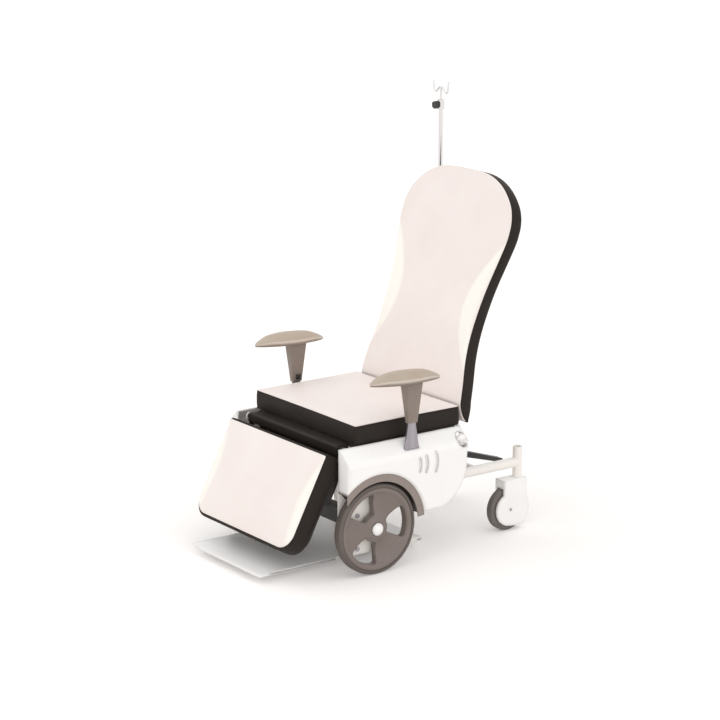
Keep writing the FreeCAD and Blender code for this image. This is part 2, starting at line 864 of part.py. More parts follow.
def seat():
    board_low, cushion_low, cushion_top = seat_levels()
    board_half = seat_half - s.board_inset
    board = box(
        -board_half, board_half, s.seat_front + s.board_inset, s.seat_rear - s.board_inset,
        board_low, cushion_low,
    )
    keep(rounded(board, s.seat_corner, vertical), "seat_board")

    # The cushion's four sides are drawn in between rounded corners.
    half, c, d = seat_half, s.seat_corner, s.seat_draw_in
    side_bow = side_radius(s.seat_rear - s.seat_front - 2 * c, d)
    end_bow = side_radius(s.seat_width - 2 * c, d)
    points = [
        (-half + c, s.seat_front, -end_bow), (half - c, s.seat_front, c),
        (half, s.seat_front + c, -side_bow), (half, s.seat_rear - c, c),
        (half - c, s.seat_rear, -end_bow), (-half + c, s.seat_rear, c),
        (-half, s.seat_rear - c, -side_bow), (-half, s.seat_front + c, c),
    ]
    cushion = slab("XY", cushion_low, s.seat_height, points)
    top = float(cushion_top)
    keep(rounded(cushion, s.seat_edge_round, lambda edge: level_at(edge, top)), "seat_cushion")

    inset = s.panel_inset + s.seat_draw_in
    front, rear = s.seat_front + inset, s.seat_rear - inset
    crown = feature(crowned_block(
        float(half - inset), float(front), float(rear), top, float(s.panel_edge), float(s.seat_crown)
    ))
    form = slab("XY", cushion_top, s.panel_edge + 2 * s.seat_crown, rounded_rectangle(
        inset - half, half - inset, front, rear, s.seat_corner
    ))
    keep(common(crown, form), "seat_top_panel")

    r, apron_half = s.apron_round, leg_half - s.apron_inset
    apron = slab("YZ", -apron_half, 2 * apron_half, [
        (s.apron_front + r, s.apron_low), (s.seat_frame_front, s.apron_low),
        (s.seat_frame_front, s.apron_top), (s.apron_front + r, s.apron_top, r),
        (s.apron_front, s.apron_top - r), (s.apron_front, s.apron_low + r, r),
    ])
    keep(apron, "front_apron")


def side_radius(chord, sagitta):
    """Radius of the arc with this chord and sagitta."""
    return (chord * chord / 4 + sagitta * sagitta) / (2 * sagitta)


TOUCH = 1e-6


def vertical(edge):
    bounds = edge.BoundBox
    return bounds.ZLength > 1.0 and bounds.XLength < TOUCH and bounds.YLength < TOUCH


def level_at(edge, height):
    bounds = edge.BoundBox
    return abs(bounds.ZMin - height) < TOUCH and abs(bounds.ZMax - height) < TOUCH


# Side covers and wheel arches

def cover_block(inset, x0):
    """The cover's outer form, or with an inset the hollow inside it."""
    x1 = cover_face - inset
    radius = arch_radius + inset
    front, rear = s.cover_front + inset, s.cover_rear - inset
    low, top = s.cover_low + inset, s.cover_top - inset
    front_rise = (radius * radius - (s.axle_y - front) * (s.axle_y - front)).root()
    rear_run = (radius * radius - (low - s.wheel_radius) * (low - s.wheel_radius)).root()
    block = slab("YZ", x0, x1 - x0, [
        (front, top), (front, s.wheel_radius + front_rise, -radius), (s.axle_y + rear_run, low),
        (s.cover_low_end, low, s.cover_rear_round), (rear - s.cover_rear_lean, s.cover_rear_turn),
        (rear, top),
    ])
    # The shoulder falls away from the seat to the outer face in two slopes.
    edge, past = plate_out + s.shoulder_start - inset, s.shoulder_reach
    wedge = slab("XZ", -s.cover_rear - past, s.cover_rear - s.cover_front + 2 * past, [
        (edge, top), (edge + s.shoulder_run, top - shoulder_drop * s.shoulder_share),
        (x1, top - shoulder_drop), (x1 + past, top - shoulder_drop),
        (x1 + past, s.cover_top + past), (edge, s.cover_top + past),
    ])
    return cut(block, wedge)


# Radius of a nearly half-round end as a share of half its width
END_ARC = 1.003


def vent(y, height):
    """A bowed louvre opening through the cover's outer face."""
    half = s.vent_width / 2
    end = half * END_ARC
    low, high = s.vent_z - height / 2, s.vent_z + height / 2
    return slab("YZ", cover_face - s.vent_depth / 2, s.vent_depth, [
        (y - half, low, end), (y + half, low, s.vent_bow),
        (y + half, high, end), (y - half, high, -s.vent_bow),
    ])


def side_covers():
    outside = cover_block(as_size(0.0), plate_out)
    face = float(cover_face)
    smooth = rounded(outside, s.cover_edge, lambda edge: abs(edge.BoundBox.XMin - face) < TOUCH)
    hollow = cover_block(s.cover_wall, plate_out - s.overrun)
    slot_x, slot_y = s.blade_thickness / 2 + s.blade_slot_gap, s.blade_foot_width / 2 + s.blade_slot_gap
    slot = box(
        arm_x - slot_x, arm_x + slot_x, s.arm_y - slot_y, s.arm_y + slot_y,
        s.seat_frame_low, s.cover_top + s.overrun,
    )
    vents = [
        vent(s.vent_front_y, s.vent_front_height), vent(s.vent_mid_y, s.vent_mid_height),
        vent(s.vent_rear_y, s.vent_rear_height),
    ]
    shell = cut(cut(smooth, hollow), slot, *vents)
    opening = rod(
        "X", s.lever_radius + s.lever_gap, s.cover_width + 2 * s.overrun,
        plate_out - s.overrun, s.lever_y, s.lever_z,
    )
    mirrored(shell, "side_cover_right")
    keep(cut(shell, opening), "side_cover_left")

    r, wall, band = arch_radius - s.slide_gap, s.liner_wall, s.liner_band
    face_x = plate_out + s.liner_reach
    x0, x1 = plate_out + s.slide_gap - wheel_x, face_x - wheel_x
    liner = turned([
        (x0, r - wall), (x1 - wall, r - wall), (x1 - wall, r - band), (x1, r - band), (x1, r), (x0, r),
    ], s.liner_angle)
    place(liner, wheel_x, s.axle_y, s.wheel_radius)
    # The arch ends level with the cover's front face.
    ahead = box(
        plate_out - s.overrun, face_x + s.overrun, s.cover_front - arch_radius, s.cover_front,
        0.0, s.cover_top,
    )
    arch = keep(cut(liner, ahead), "wheel_arch_left")
    mirrored(arch, "wheel_arch_right")


# Armrests

def armrests():
    x0 = arm_x - s.blade_thickness / 2
    neck, foot = s.blade_width / 2, s.blade_foot_width / 2
    leg_low = s.seat_frame_low - s.blade_thickness
    blade = slab("YZ", x0, s.blade_thickness, [
        (s.arm_y - foot, leg_low), (s.arm_y + foot, leg_low), (s.arm_y + foot, s.blade_foot_top),
        (s.arm_y + neck, s.blade_neck), (s.arm_y + neck, s.blade_top), (s.arm_y - neck, s.blade_top),
        (s.arm_y - neck, s.blade_neck), (s.arm_y - foot, s.blade_foot_top),
    ])
    leg = box(
        frame_x - s.upright_width / 2, x0 + s.blade_thickness / 2, s.arm_y - foot, s.arm_y + foot,
        leg_low, s.seat_frame_low,
    )
    bracket = keep(fuse(blade, leg), "armrest_bracket_left")
    mirrored(bracket, "armrest_bracket_right")

    # The sleeve flares upwards from the blade to the pad's underside and slides on the blade.
    sleeve = new_body()
    ends = []
    for level, length, width in (
        (s.sleeve_low, s.sleeve_low_length, s.sleeve_low_width),
        (s.sleeve_top, s.sleeve_top_length, s.sleeve_top_width),
    ):
        ends.append(outline(sketch(sleeve, "XY", level), rounded_rectangle(
            arm_x - width / 2, arm_x + width / 2, s.arm_y - length / 2, s.arm_y + length / 2, s.sleeve_corner
        )))
    loft = sleeve.newObject("PartDesign::AdditiveLoft", "Flare")
    loft.Profile = ends[0]
    loft.Sections = [ends[1]]
    slide_x, slide_y = s.blade_thickness / 2 + s.slide_gap, neck + s.slide_gap
    channel = box(
        arm_x - slide_x, arm_x + slide_x, s.arm_y - slide_y, s.arm_y + slide_y,
        s.sleeve_low - s.overrun, s.sleeve_top + s.overrun,
    )
    # The release button goes through the sleeve's inner wall and stops short of the blade.
    end = x0 - s.button_stop
    around = s.button_half + s.slide_gap
    hole = box(
        arm_x - s.sleeve_top_width, arm_x, s.arm_y - around, s.arm_y + around,
        s.button_z - around, s.button_z + around,
    )
    sleeve_left = keep(cut(sleeve, channel, hole), "armrest_sleeve_left")
    mirrored(sleeve_left, "armrest_sleeve_right")
    half = s.button_half
    stud = box(
        end - s.button_depth, end, s.arm_y - half, s.arm_y + half, s.button_z - half, s.button_z + half
    )
    head = float(end - s.button_depth)
    button = rounded(stud, s.button_round, lambda edge: abs(edge.BoundBox.XMax - head) < TOUCH)
    keep(button, "armrest_button_left")
    mirrored(button, "armrest_button_right")

    below = box(
        arm_x - s.arm_pad_width, arm_x + s.arm_pad_width, s.arm_pad_centre - s.arm_pad_length,
        s.arm_pad_centre + s.arm_pad_length, s.sleeve_low, s.sleeve_top,
    )
    pad = keep(cut(feature(arm_pad()), below), "armrest_pad_left")
    mirrored(pad, "armrest_pad_right")


# Shares along the arm pad at which its sections stand, and the brim's share of its rise
PAD_STATIONS = (0.0, 0.08, 0.3, 0.55, 0.8, 0.94, 1.0)
PAD_BRIM = 0.16
# Half a wave along the pad, cut short by the tip share at both ends, and how full it is
PAD_TIP = 0.07
PAD_FULLNESS = 0.7
# Width of the flat base, and how far and how late its tips turn up
PAD_BASE = 0.7
PAD_TIP_LIFT = 0.3
PAD_TIP_DELAY = 1.5


def arm_pad():
    """The pad swells from two narrow tips to a dome; sections across X are an arc over a flat base."""
    x, length = float(arm_x), float(s.arm_pad_length)
    half, rise = float(s.arm_pad_width) / 2, float(s.arm_pad_rise)
    first, seat_z = float(s.arm_pad_centre) - length / 2, float(s.sleeve_top)
    wires = []
    for share in PAD_STATIONS:
        swell = math.sin(math.pi * (PAD_TIP + (1 - 2 * PAD_TIP) * share)) ** PAD_FULLNESS
        y = first + length * share
        reach = half * swell
        base = seat_z + rise * PAD_TIP_LIFT * (1 - swell) ** PAD_TIP_DELAY
        brim = base + rise * PAD_BRIM
        peak = seat_z + rise * swell
        wires.append(loop_wire([
            (Vector(x - reach * PAD_BASE, y, base), None), (Vector(x + reach * PAD_BASE, y, base), None),
            (Vector(x + reach, y, brim), Vector(x, y, peak)), (Vector(x - reach, y, brim), None),
        ]))
    return Part.makeLoft(wires, True)


# Casters

def casters():
    wheel_y, z = s.post_y - s.caster_trail, s.caster_radius
    x0, x1 = frame_x - s.caster_width / 2, frame_x + s.caster_width / 2
    neck_top = s.post_low - s.slide_gap
    fender = s.caster_fender_radius
    cheek = rod("X", s.caster_cheek_radius, s.caster_width, x0, wheel_y, z)
    guard = common(
        rod("X", fender, s.caster_width, x0, wheel_y, z),
        box(x0, x1, wheel_y, wheel_y + 2 * fender, s.caster_guard_low, 2 * z + s.caster_fender_reach),
    )
    neck = box(
        x0, x1, wheel_y - s.caster_neck_front, s.post_y + s.caster_neck_rear, s.caster_neck_low, neck_top
    )
    slot_half = s.caster_tyre_width / 2 + s.caster_slot_gap
    slot = rod("X", s.caster_radius + s.caster_slot_gap, 2 * slot_half, frame_x - slot_half, wheel_y, z)
    axle_hole = rod("X", s.caster_axle_radius, s.caster_width + 2 * s.overrun, x0 - s.overrun, wheel_y, z)
    root = s.caster_stem_root
    stem = rod(
        "Z", s.post_bore - s.running_gap, s.caster_stem_length + root, frame_x, s.post_y, neck_top - root
    )
    fork_block = rounded(fuse(cheek, guard, neck), s.caster_edge, on_caster_face)
    fork = keep(fuse(cut(fork_block, slot, axle_hole), stem), "caster_fork_left")
    mirrored(fork, "caster_fork_right")

    axle = keep(rod("X", s.caster_axle_radius, s.caster_width, x0, wheel_y, z), "caster_axle_left")
    mirrored(axle, "caster_axle_right")

    w, r, tread, bow = s.caster_tyre_width / 2, s.caster_radius, s.caster_tread, s.caster_tread_round
    core_radius = s.caster_core_radius
    tyre = turned([
        (-w, core_radius), (w, core_radius), (w, r - tread, bow),
        (w - tread, r), (tread - w, r, bow), (-w, r - tread),
    ])
    bore = s.caster_axle_radius + s.running_gap
    side, dish = w - s.caster_rim_lip, w - s.caster_dish
    edge, band = core_radius - s.caster_rim_edge, core_radius - s.caster_rim_band
    core = turned([
        (-w, bore), (w, bore), (w, s.caster_hub_radius), (dish, s.caster_hub_root), (dish, band),
        (side, edge), (side, core_radius), (-side, core_radius), (-side, edge), (-dish, band),
        (-dish, s.caster_hub_root), (-w, s.caster_hub_radius),
    ])
    for piece, name in ((tyre, "caster_tyre"), (core, "caster_core")):
        place(piece, frame_x, wheel_y, z)
        keep(piece, f"{name}_left")
        mirrored(piece, f"{name}_right")


def on_caster_face(edge):
    half, middle, bounds = float(s.caster_width) / 2, float(frame_x), edge.BoundBox
    return bounds.XLength < TOUCH and abs(abs(bounds.XMin - middle) - half) < TOUCH


# Backrest

def back_arcs(inset, low):
    """Right half of the front view, foot to crown: corners (x, z) and the radius of the arc that follows.

    An inset moves each corner along its own normal; arcs that bow inwards have a negative radius.
    """
    half = back_half - inset
    along, down = inset * waist_cosine, inset * waist_sine
    waist_x = back_half - s.waist_inset - along
    run, rise = s.waist_inset, s.back_z_waist_low - s.back_low
    foot_bow = (run * run + rise * rise) / (rise * waist_sine - run * waist_cosine) / 2
    return [
        (half, low, foot_bow - inset),
        (waist_x, s.back_z_waist_low - down, -(s.waist_bow + inset)),
        (waist_x, s.back_z_waist_high + down, as_size(0.0)),
        (neck_x - along, neck_z + down, s.shoulder_bow - inset),
        (head_x - inset, head_z, s.head_bow - inset),
        (crown_x - inset * crown_sine, crown_z - inset * crown_cosine, crown_bow - inset),
    ]


def back_outline(inset, low):
    """Front view of the backrest: the right half and its mirror image."""
    right = back_arcs(inset, low)
    left = []
    for i in range(len(right) - 1, -1, -1):
        bow = right[i - 1][2] if i > 0 else as_size(0.0)
        left.append((-right[i][0], right[i][1], bow))
    return [corner[:2] if float(corner[2]) == 0 else corner for corner in right + left]


def back_slab(front, rear):
    """Side view of one layer of the backrest between two offsets from the sitting face."""
    low, high = s.back_face_low, s.back_top + s.back_top_trim
    bow_low, bow_high = s.back_low_bow, s.back_high_bow
    return [
        (s.back_y_low + front, low), (s.back_y_low + rear, low, -bow_low),
        (s.back_y_turn + rear, s.back_face_turn, bow_high), (s.back_y_top + rear, high),
        (s.back_y_top + front, high, -bow_high), (s.back_y_turn + front, s.back_face_turn, bow_low),
    ]


def back_form(inset, low):
    """A deep block with the backrest's front outline."""
    return slab("XZ", -s.back_y_top - s.back_reach, 2 * s.back_reach, back_outline(inset, low))


def back_layer(front, rear, inset, low):
    half = 2 * head_x
    return common(back_form(inset, low), slab("YZ", -half, 2 * half, back_slab(front, rear)))


def back_face_y(z):
    """Depth of the sitting face at a height, on the two arcs that the layers share."""
    low = (float(s.back_face_low), float(s.back_y_low))
    turn = (float(s.back_face_turn), float(s.back_y_turn))
    top = (float(s.back_top + s.back_top_trim), float(s.back_y_top))
    first, last, bow = (low, turn, s.back_low_bow) if z < turn[0] else (turn, top, -s.back_high_bow)
    run, rise = last[0] - first[0], last[1] - first[1]
    share = (z - first[0]) / run
    chord = math.hypot(run, rise)
    sag = chord * chord / (2 * float(bow)) * share * (1 - share)
    return first[1] + rise * share - sag * chord / run


def back_front_y(z):
    """Depth of the cushion's front at a height: the tip's arc below the sitting face, behind it above."""
    if z >= float(s.back_face_low):
        return back_face_y(z) + float(s.back_panel)
    start = Vector(float(s.back_y_low + s.back_panel), float(s.back_face_low), 0)
    end = Vector(float(s.back_y_tip), float(s.back_low), 0)
    bow = float(s.back_tip_bow)
    centre = arc_between(start, end, bow).Center
    return centre.x - math.sqrt(bow ** 2 - (z - centre.y) ** 2)


def back_half_width(z):
    """Half width of the backrest at a height, on the arcs of its front view."""
    corners = back_arcs(as_size(0.0), s.back_low)
    for (x0, z0, bow), (x1, z1, _) in zip(corners, corners[1:]):
        if z > float(z1):
            continue
        start, end = Vector(float(x0), float(z0), 0), Vector(float(x1), float(z1), 0)
        if float(bow) == 0:
            return start.x + (end.x - start.x) * (z - start.y) / (end.y - start.y)
        centre = arc_between(start, end, float(bow)).Center
        reach = math.sqrt(float(bow) ** 2 - (z - centre.y) ** 2)
        return centre.x + math.copysign(reach, float(bow))
    centre_z = float(s.back_top - crown_bow)
    return math.sqrt(float(crown_bow) ** 2 - (z - centre_z) ** 2)


# Shares of the panel's height at which its sections stand
PANEL_STATIONS = (0.0, 0.025, 0.05, 0.08, 0.16, 0.29, 0.44, 0.6, 0.72, 0.79, 0.87, 0.94, 0.975, 1.0)
# How quickly the bolsters fade towards both ends
BOLSTER_FADE = 1.5


def back_front_panel():
    """The pale front pad: a shallow middle between two raised side bolsters, fading towards both ends.

    Sections are level, each a rear line, two sides, two bolster arcs and a middle arc.
    """
    inset, depth = float(s.panel_inset), float(s.back_panel)
    flat, height = float(s.panel_flat), float(s.bolster_height)
    low, high = float(s.panel_low), float(s.back_top) - 2 * inset
    wires = []
    for share in PANEL_STATIONS:
        z = low + (high - low) * share
        half = back_half_width(z) - inset
        rear = back_front_y(z) + float(s.panel_sink)
        face = back_front_y(z) - depth
        lift = flat + (height - flat) * math.sin(math.pi * share) ** BOLSTER_FADE
        seam = half * (1 - float(s.bolster_width) / float(back_half))
        ridge = (half + seam) / 2
        wires.append(loop_wire([
            (Vector(-half, rear, z), None), (Vector(half, rear, z), None),
            (Vector(half, face, z), Vector(ridge, face - lift, z)),
            (Vector(seam, face, z), Vector(0, face - flat, z)),
            (Vector(-seam, face, z), Vector(-ridge, face - lift, z)), (Vector(-half, face, z), None),
        ]))
    return Part.makeLoft(wires, True)


def backrest():
    face_low, foam_rear = s.back_face_low, s.back_panel + s.back_foam
    body = back_layer(s.back_panel, foam_rear, as_size(0.0), s.back_low)
    # Below the sitting face the cushion narrows to a rounded tip behind the seat.
    tip = common(
        slab("YZ", -back_half, 2 * back_half, [
            (s.back_y_low + s.back_panel, face_low, s.back_tip_bow), (s.back_y_tip, s.back_low),
            (s.back_y_tip + s.back_tip_depth, s.back_low, s.back_tip_rear_bow),
            (s.back_y_low + foam_rear, face_low),
        ]),
        back_form(as_size(0.0), s.back_low),
    )
    cushion = keep(fuse(body, tip), "back_cushion")
    keep(cut(feature(back_front_panel()), cushion), "back_front_panel")
    shell_rear = foam_rear + s.back_shell
    shell = keep(back_layer(foam_rear, shell_rear, s.shell_inset, face_low + s.shell_rise), "back_shell")

    # Two bent flats carry the shell from the pins; a tube ties them together.
    start, turn = s.back_y_low + shell_rear, s.back_y_turn + shell_rear
    w, lug = s.arm_plate_width, s.hinge_lug
    pivot_y, pivot_z = s.back_pivot_y, s.back_pivot_z
    plates = []
    for first in (arm_plate_x, -arm_plate_x - s.arm_plate_thickness):
        plates.append(slab("YZ", first, s.arm_plate_thickness, [
            (pivot_y - lug, pivot_z, lug), (pivot_y, pivot_z - lug, lug), (pivot_y + lug, pivot_z),
            (start + w, face_low), (turn + s.arm_plate_end, s.back_face_turn),
            (turn, s.back_face_turn, s.back_low_bow), (start, face_low),
            (s.back_y_tip + s.arm_plate_gap, s.back_low - s.arm_plate_drop),
        ]))
    tie = rod(
        "X", s.handle_radius, 2 * arm_plate_x + s.arm_plate_thickness, -arm_plate_x,
        start + w + s.tie_gap, face_low + s.tie_rise,
    )
    past = arm_plate_x + 2 * s.arm_plate_thickness
    holes = rod("X", s.hinge_pin_radius + s.running_gap, 2 * past, -past, pivot_y, pivot_z)
    keep(cut(fuse(*plates, tie), holes), "back_frame")
    push_handle((shell, cushion), shell_rear)


def tube_path(points, bends):
    """A wire through the points, with each inner corner rounded to its bend radius."""
    edges = []
    at = points[0]
    for before, corner, after, radius in zip(points, points[1:], points[2:], bends):
        back = (before - corner).normalize()
        on = (after - corner).normalize()
        half_turn = back.getAngle(on) / 2
        reach = radius / math.tan(half_turn)
        first, last = corner + back * reach, corner + on * reach
        bisector = (back + on).normalize()
        middle = corner + bisector * (radius / math.sin(half_turn) - radius)
        edges.append(Part.LineSegment(at, first).toShape())
        edges.append(Part.Arc(first, middle, last).toShape())
        at = last
    edges.append(Part.LineSegment(at, points[-1]).toShape())
    return Part.Wire(edges)


def tube(points, bends, radius):
    """A round bar along straight runs and tangent arcs."""
    path = tube_path(points, bends)
    direction = points[1] - points[0]
    section = Part.Wire([Part.Circle(points[0], direction, radius).toShape()])
    return path.makePipeShell([section], True, False)


def cylinder(radius, length, start, direction):
    return Part.makeCylinder(float(radius), float(length), start, direction)


def push_handle(seats, shell_rear):
    """A bent bar whose feet are trimmed to the seats behind them."""
    half, low, top = float(s.handle_half), float(s.handle_low), float(s.handle_top)
    low_y = back_face_y(low) + float(shell_rear)
    top_y = back_face_y(top) + float(shell_rear)
    points = []
    for sign in (-1, 1):
        foot = Vector(sign * half, low_y - float(s.handle_sink), low)
        knee = Vector(sign * half, low_y + float(s.handle_knee_out), low + float(s.handle_knee_rise))
        hand = Vector(sign * half, top_y + float(s.handle_standoff), top)
        points += [foot, knee, hand] if sign < 0 else [hand, knee, foot]
    foot_bend, bend = float(s.handle_foot_bend), float(s.handle_bend)
    bar = tube(points, [foot_bend, bend, bend, foot_bend], float(s.handle_radius))
    keep(cut(feature(bar), *seats), "push_handle")
    hand = points[2]
    start = Vector(-float(s.grip_half), hand.y, hand.z)
    keep(feature(cylinder(s.grip_radius, 2 * s.grip_half, start, Vector(1, 0, 0)).cut(bar)), "push_grip")


# Legrest, built upright about its pivot and leant forward

def lean_back(thing):
    pivot = Vector(0, float(s.leg_pivot_y), float(s.leg_pivot_z))
    thing.Placement = Placement(pivot, Rotation(Vector(1, 0, 0), -float(s.leg_lean_angle)))
    bind(thing, **{"Placement.Base.y": s.leg_pivot_y, "Placement.Base.z": s.leg_pivot_z})
    return thing


def leg_outline(inset, top, low, corner):
    """Square top corners and rounded bottom corners."""
    half = leg_half - inset
    top, low = top - inset, low + inset
    return [
        (-half, top), (-half, low + corner, corner), (-half + corner, low), (half - corner, low, corner),
        (half, low + corner), (half, top),
    ]


def legrest():
    top, low = -s.leg_top_drop, -s.leg_top_drop - s.leg_length
    foam_front = s.leg_panel - s.leg_face
    foam_rear = foam_front + s.leg_foam
    foam = slab("XZ", -foam_rear, s.leg_foam, leg_outline(as_size(0.0), top, low, s.leg_corner))
    keep(lean_back(foam), "legrest_cushion")

    inset = s.leg_panel_inset
    crown = feature(leg_crown(
        float(leg_half - inset), float(top - inset), float(low + inset), float(foam_front)
    ))
    form = slab(
        "XZ", -foam_front, s.leg_panel + 2 * s.leg_crown, leg_outline(inset, top, low, s.leg_corner - inset)
    )
    keep(lean_back(common(crown, form)), "legrest_front_panel")

    # The board behind the foam carries two arms that reach up to the pins.
    board_rear = foam_rear + s.leg_board
    board = slab("XZ", -board_rear, s.leg_board, leg_outline(s.leg_board_inset, top, low, s.leg_corner))
    parts = [board]
    arm_half, shoulder = s.leg_arm_width / 2, top - s.leg_arm_shoulder
    rear, end, seat_y = board_rear + arm_half, top - s.leg_arm_length, board_rear - s.leg_arm_sink
    for first in (leg_arm_x, -leg_arm_x - s.leg_arm_thickness):
        parts.append(slab("YZ", first, s.leg_arm_thickness, [
            (-arm_half, 0.0, -arm_half), (0.0, arm_half, -arm_half), (arm_half, 0.0),
            (rear, shoulder), (rear, end), (seat_y, end), (seat_y, top),
        ]))
    past = leg_half + s.overrun
    holes = rod("X", s.leg_pin_radius + s.running_gap, 2 * past, -past, as_size(0.0), as_size(0.0))
    keep(lean_back(cut(fuse(*parts), holes)), "legrest_frame")


def leg_crown(half, top, low, base):
    """A block crowned towards the front; level sections are a rear line, two sides and one front arc."""
    wires = []
    front = base - float(s.leg_panel)
    for share in CROWN_STATIONS:
        z = low + (top - low) * share
        peak = front - float(s.leg_crown) * crown_share(share)
        wires.append(loop_wire([
            (Vector(-half, base, z), None), (Vector(half, base, z), None),
            (Vector(half, front, z), Vector(0, peak, z)), (Vector(-half, front, z), None),
        ]))
    return Part.makeLoft(wires, True)


# Foot platform

def foot_platform():
    half, low, gap = platform_half, s.platform_low, s.slide_gap
    top, middle = low + s.platform_thickness, low + s.platform_thickness / 2
    tongue, past = s.guide_tongue_height / 2, s.overrun
    board = slab("XY", low, s.platform_thickness, rounded_rectangle(
        -half, half, s.platform_front, s.platform_rear, s.platform_corner
    ))
    # A groove in each edge runs on the guide's tongue.
    floor = half - s.guide_tongue - gap
    groove_y = s.platform_front + s.groove_start
    grooves = [
        box(x, x + s.guide_tongue + gap + past, groove_y, s.platform_rear + past,
            middle - tongue - gap, middle + tongue + gap)
        for x in (floor, -half - past)
    ]
    keep(cut(board, *grooves), "foot_platform")

    x0, x1 = half + gap, half + gap + s.guide_wall
    z0, z1 = low - s.guide_over, top + s.guide_over
    wall = box(x0, x1, s.guide_front, s.guide_rear, z0, z1)
    rib = box(half - s.guide_tongue, x0 + past, s.guide_front, s.guide_rear, middle - tongue, middle + tongue)
    w = s.hanger_width / 2
    beam_low, tube_low = s.wheel_radius - s.beam_height / 2, s.rail_z - s.cross_radius
    front = box(x0, x1, s.axle_y - w, s.axle_y + w, z1 - past, beam_low)
    rear = box(x0, x1, s.mid_cross_y - w, s.mid_cross_y + w, z1 - past, tube_low + s.hanger_bite)
    saddle = rod("X", s.cross_radius, 2 * frame_x, -frame_x, s.mid_cross_y, s.rail_z)
    guide = keep(cut(fuse(wall, rib, front, rear), saddle), "platform_guide_left")
    mirrored(guide, "platform_guide_right")


# Infusion pole

UP, AHEAD = Vector(0, 0, 1), Vector(0, -1, 0)
KNOB_FLUTES = 6


def infusion_pole():
    at = Vector(-float(seat_half + s.pole_gap), float(s.pole_y), 0)
    post = Vector(-float(frame_x), float(s.post_y), 0)
    top, foot = float(s.pole_top), float(s.post_top - s.socket_depth)
    points = [
        post + UP * foot, post + UP * float(s.pole_bend_low),
        at + UP * float(s.pole_bend_high), at + UP * top,
    ]
    bend = float(s.pole_bend_radius)
    body = tube(points, [bend, bend], float(s.pole_radius))
    spigot = cylinder(s.post_bore - s.slide_gap, s.socket_depth + s.spigot_rise, points[0], UP)
    collar_low = top + float(s.collar_over - s.collar_height)
    knob_z = collar_low + float(s.collar_height) / 2
    collar = cylinder(s.collar_radius, s.collar_height, at + UP * collar_low, UP)
    bore_length = s.pole_top + s.collar_height - s.pole_bore_low
    bore = cylinder(s.rod_radius + s.slide_gap, bore_length, at + UP * float(s.pole_bore_low), UP)
    screw_bore = cylinder(s.knob_stem + s.running_gap, s.collar_radius + s.overrun, at + UP * knob_z, AHEAD)
    keep(feature(body.fuse([spigot, collar]).cut(bore).cut(screw_bore).removeSplitter()), "iv_pole")

    # The rod ends in two hooks: each arm drops from a crest beside the rod and turns up to its tip.
    crest, dip, rise = float(s.hook_crest), float(s.hook_dip), float(s.hook_rise)
    half = float(s.hook_half)
    crown = at + UP * float(rod_top)
    shaft = cylinder(s.rod_radius, rod_top + s.hook_crest - s.rod_low, at + UP * float(s.rod_low), UP)
    profile = [(half, rise), (half - float(s.hook_tip), -dip), (float(s.hook_root), crest)]
    arm_points = [crown + Vector(-x, 0, z) for x, z in profile]
    arm_points += [crown + Vector(x, 0, z) for x, z in reversed(profile)]
    arms = tube(arm_points, [float(s.hook_bend)] * 4, float(s.hook_radius))
    keep(feature(shaft.fuse(arms).removeSplitter()), "iv_hook_rod")

    stem_start = float(s.rod_radius + 2 * s.slide_gap)
    head_start = float(s.collar_radius + s.knob_gap)
    screw = at + UP * knob_z
    stem_length = head_start - stem_start + float(s.knob_gap)
    stem = cylinder(s.knob_stem, stem_length, screw + AHEAD * stem_start, AHEAD)
    head = cylinder(s.knob_radius, s.knob_length, screw + AHEAD * head_start, AHEAD)
    flutes = []
    for i in range(KNOB_FLUTES):
        across, up = polar(float(s.knob_radius + s.knob_flute_out), 360.0 * i / KNOB_FLUTES)
        start = screw + AHEAD * (head_start - float(s.overrun)) + Vector(across, 0, up)
        flutes.append(cylinder(s.knob_flute, s.knob_length + 2 * s.overrun, start, AHEAD))
    keep(feature(head.cut(flutes).fuse(stem).removeSplitter()), "iv_clamp_knob")


# Pedal and recline lever

def brake_pedal():
    y0, z0 = s.rear_cross_y, s.pedal_pivot_z
    y1, z1 = y0 + s.pedal_length, z0 - s.pedal_drop
    hub, t, nose = s.pedal_hub, s.pedal_thickness / 2, s.pedal_nose
    x0 = s.pedal_x - s.pedal_width / 2
    arm = slab("YZ", x0, s.pedal_width, [
        (y0, z0 - hub, -hub), (y0 - hub, z0, -hub), (y0, z0 + hub),
        (y1 - nose, z1 + t, -s.pedal_nose_bow), (y1, z1 - s.pedal_nose_drop), (y1 - nose, z1 - t),
    ])
    hole = rod(
        "X", s.pedal_pin_radius + s.running_gap, s.pedal_width + 2 * s.overrun, x0 - s.overrun, y0, z0
    )
    keep(cut(arm, hole), "brake_pedal")


def recline_lever():
    start = frame_x + s.upright_width / 2 - s.seat_frame_wall + s.lever_shaft_inset
    disc_out = cover_face - s.lever_sink
    tab_half, tab_out = s.lever_radius - s.lever_tab_inset, cover_face - s.lever_tab_sink
    shaft = rod("X", s.lever_shaft, disc_out - start, start, s.lever_y, s.lever_z)
    disc = rod("X", s.lever_radius, s.lever_disc, disc_out - s.lever_disc, s.lever_y, s.lever_z)
    tab = box(
        tab_out - s.lever_tab_depth, tab_out, s.lever_y - tab_half, s.lever_y + tab_half,
        s.lever_z - s.lever_tab_drop, s.lever_z + s.lever_tab_rise,
    )
    keep(fuse(shaft, disc, tab), "recline_lever")


front_wheels()
front_axle()
frame()
seat_frame()
seat()
side_covers()
armrests()
casters()
backrest()
legrest()
foot_platform()
infusion_pole()
brake_pedal()
recline_lever()

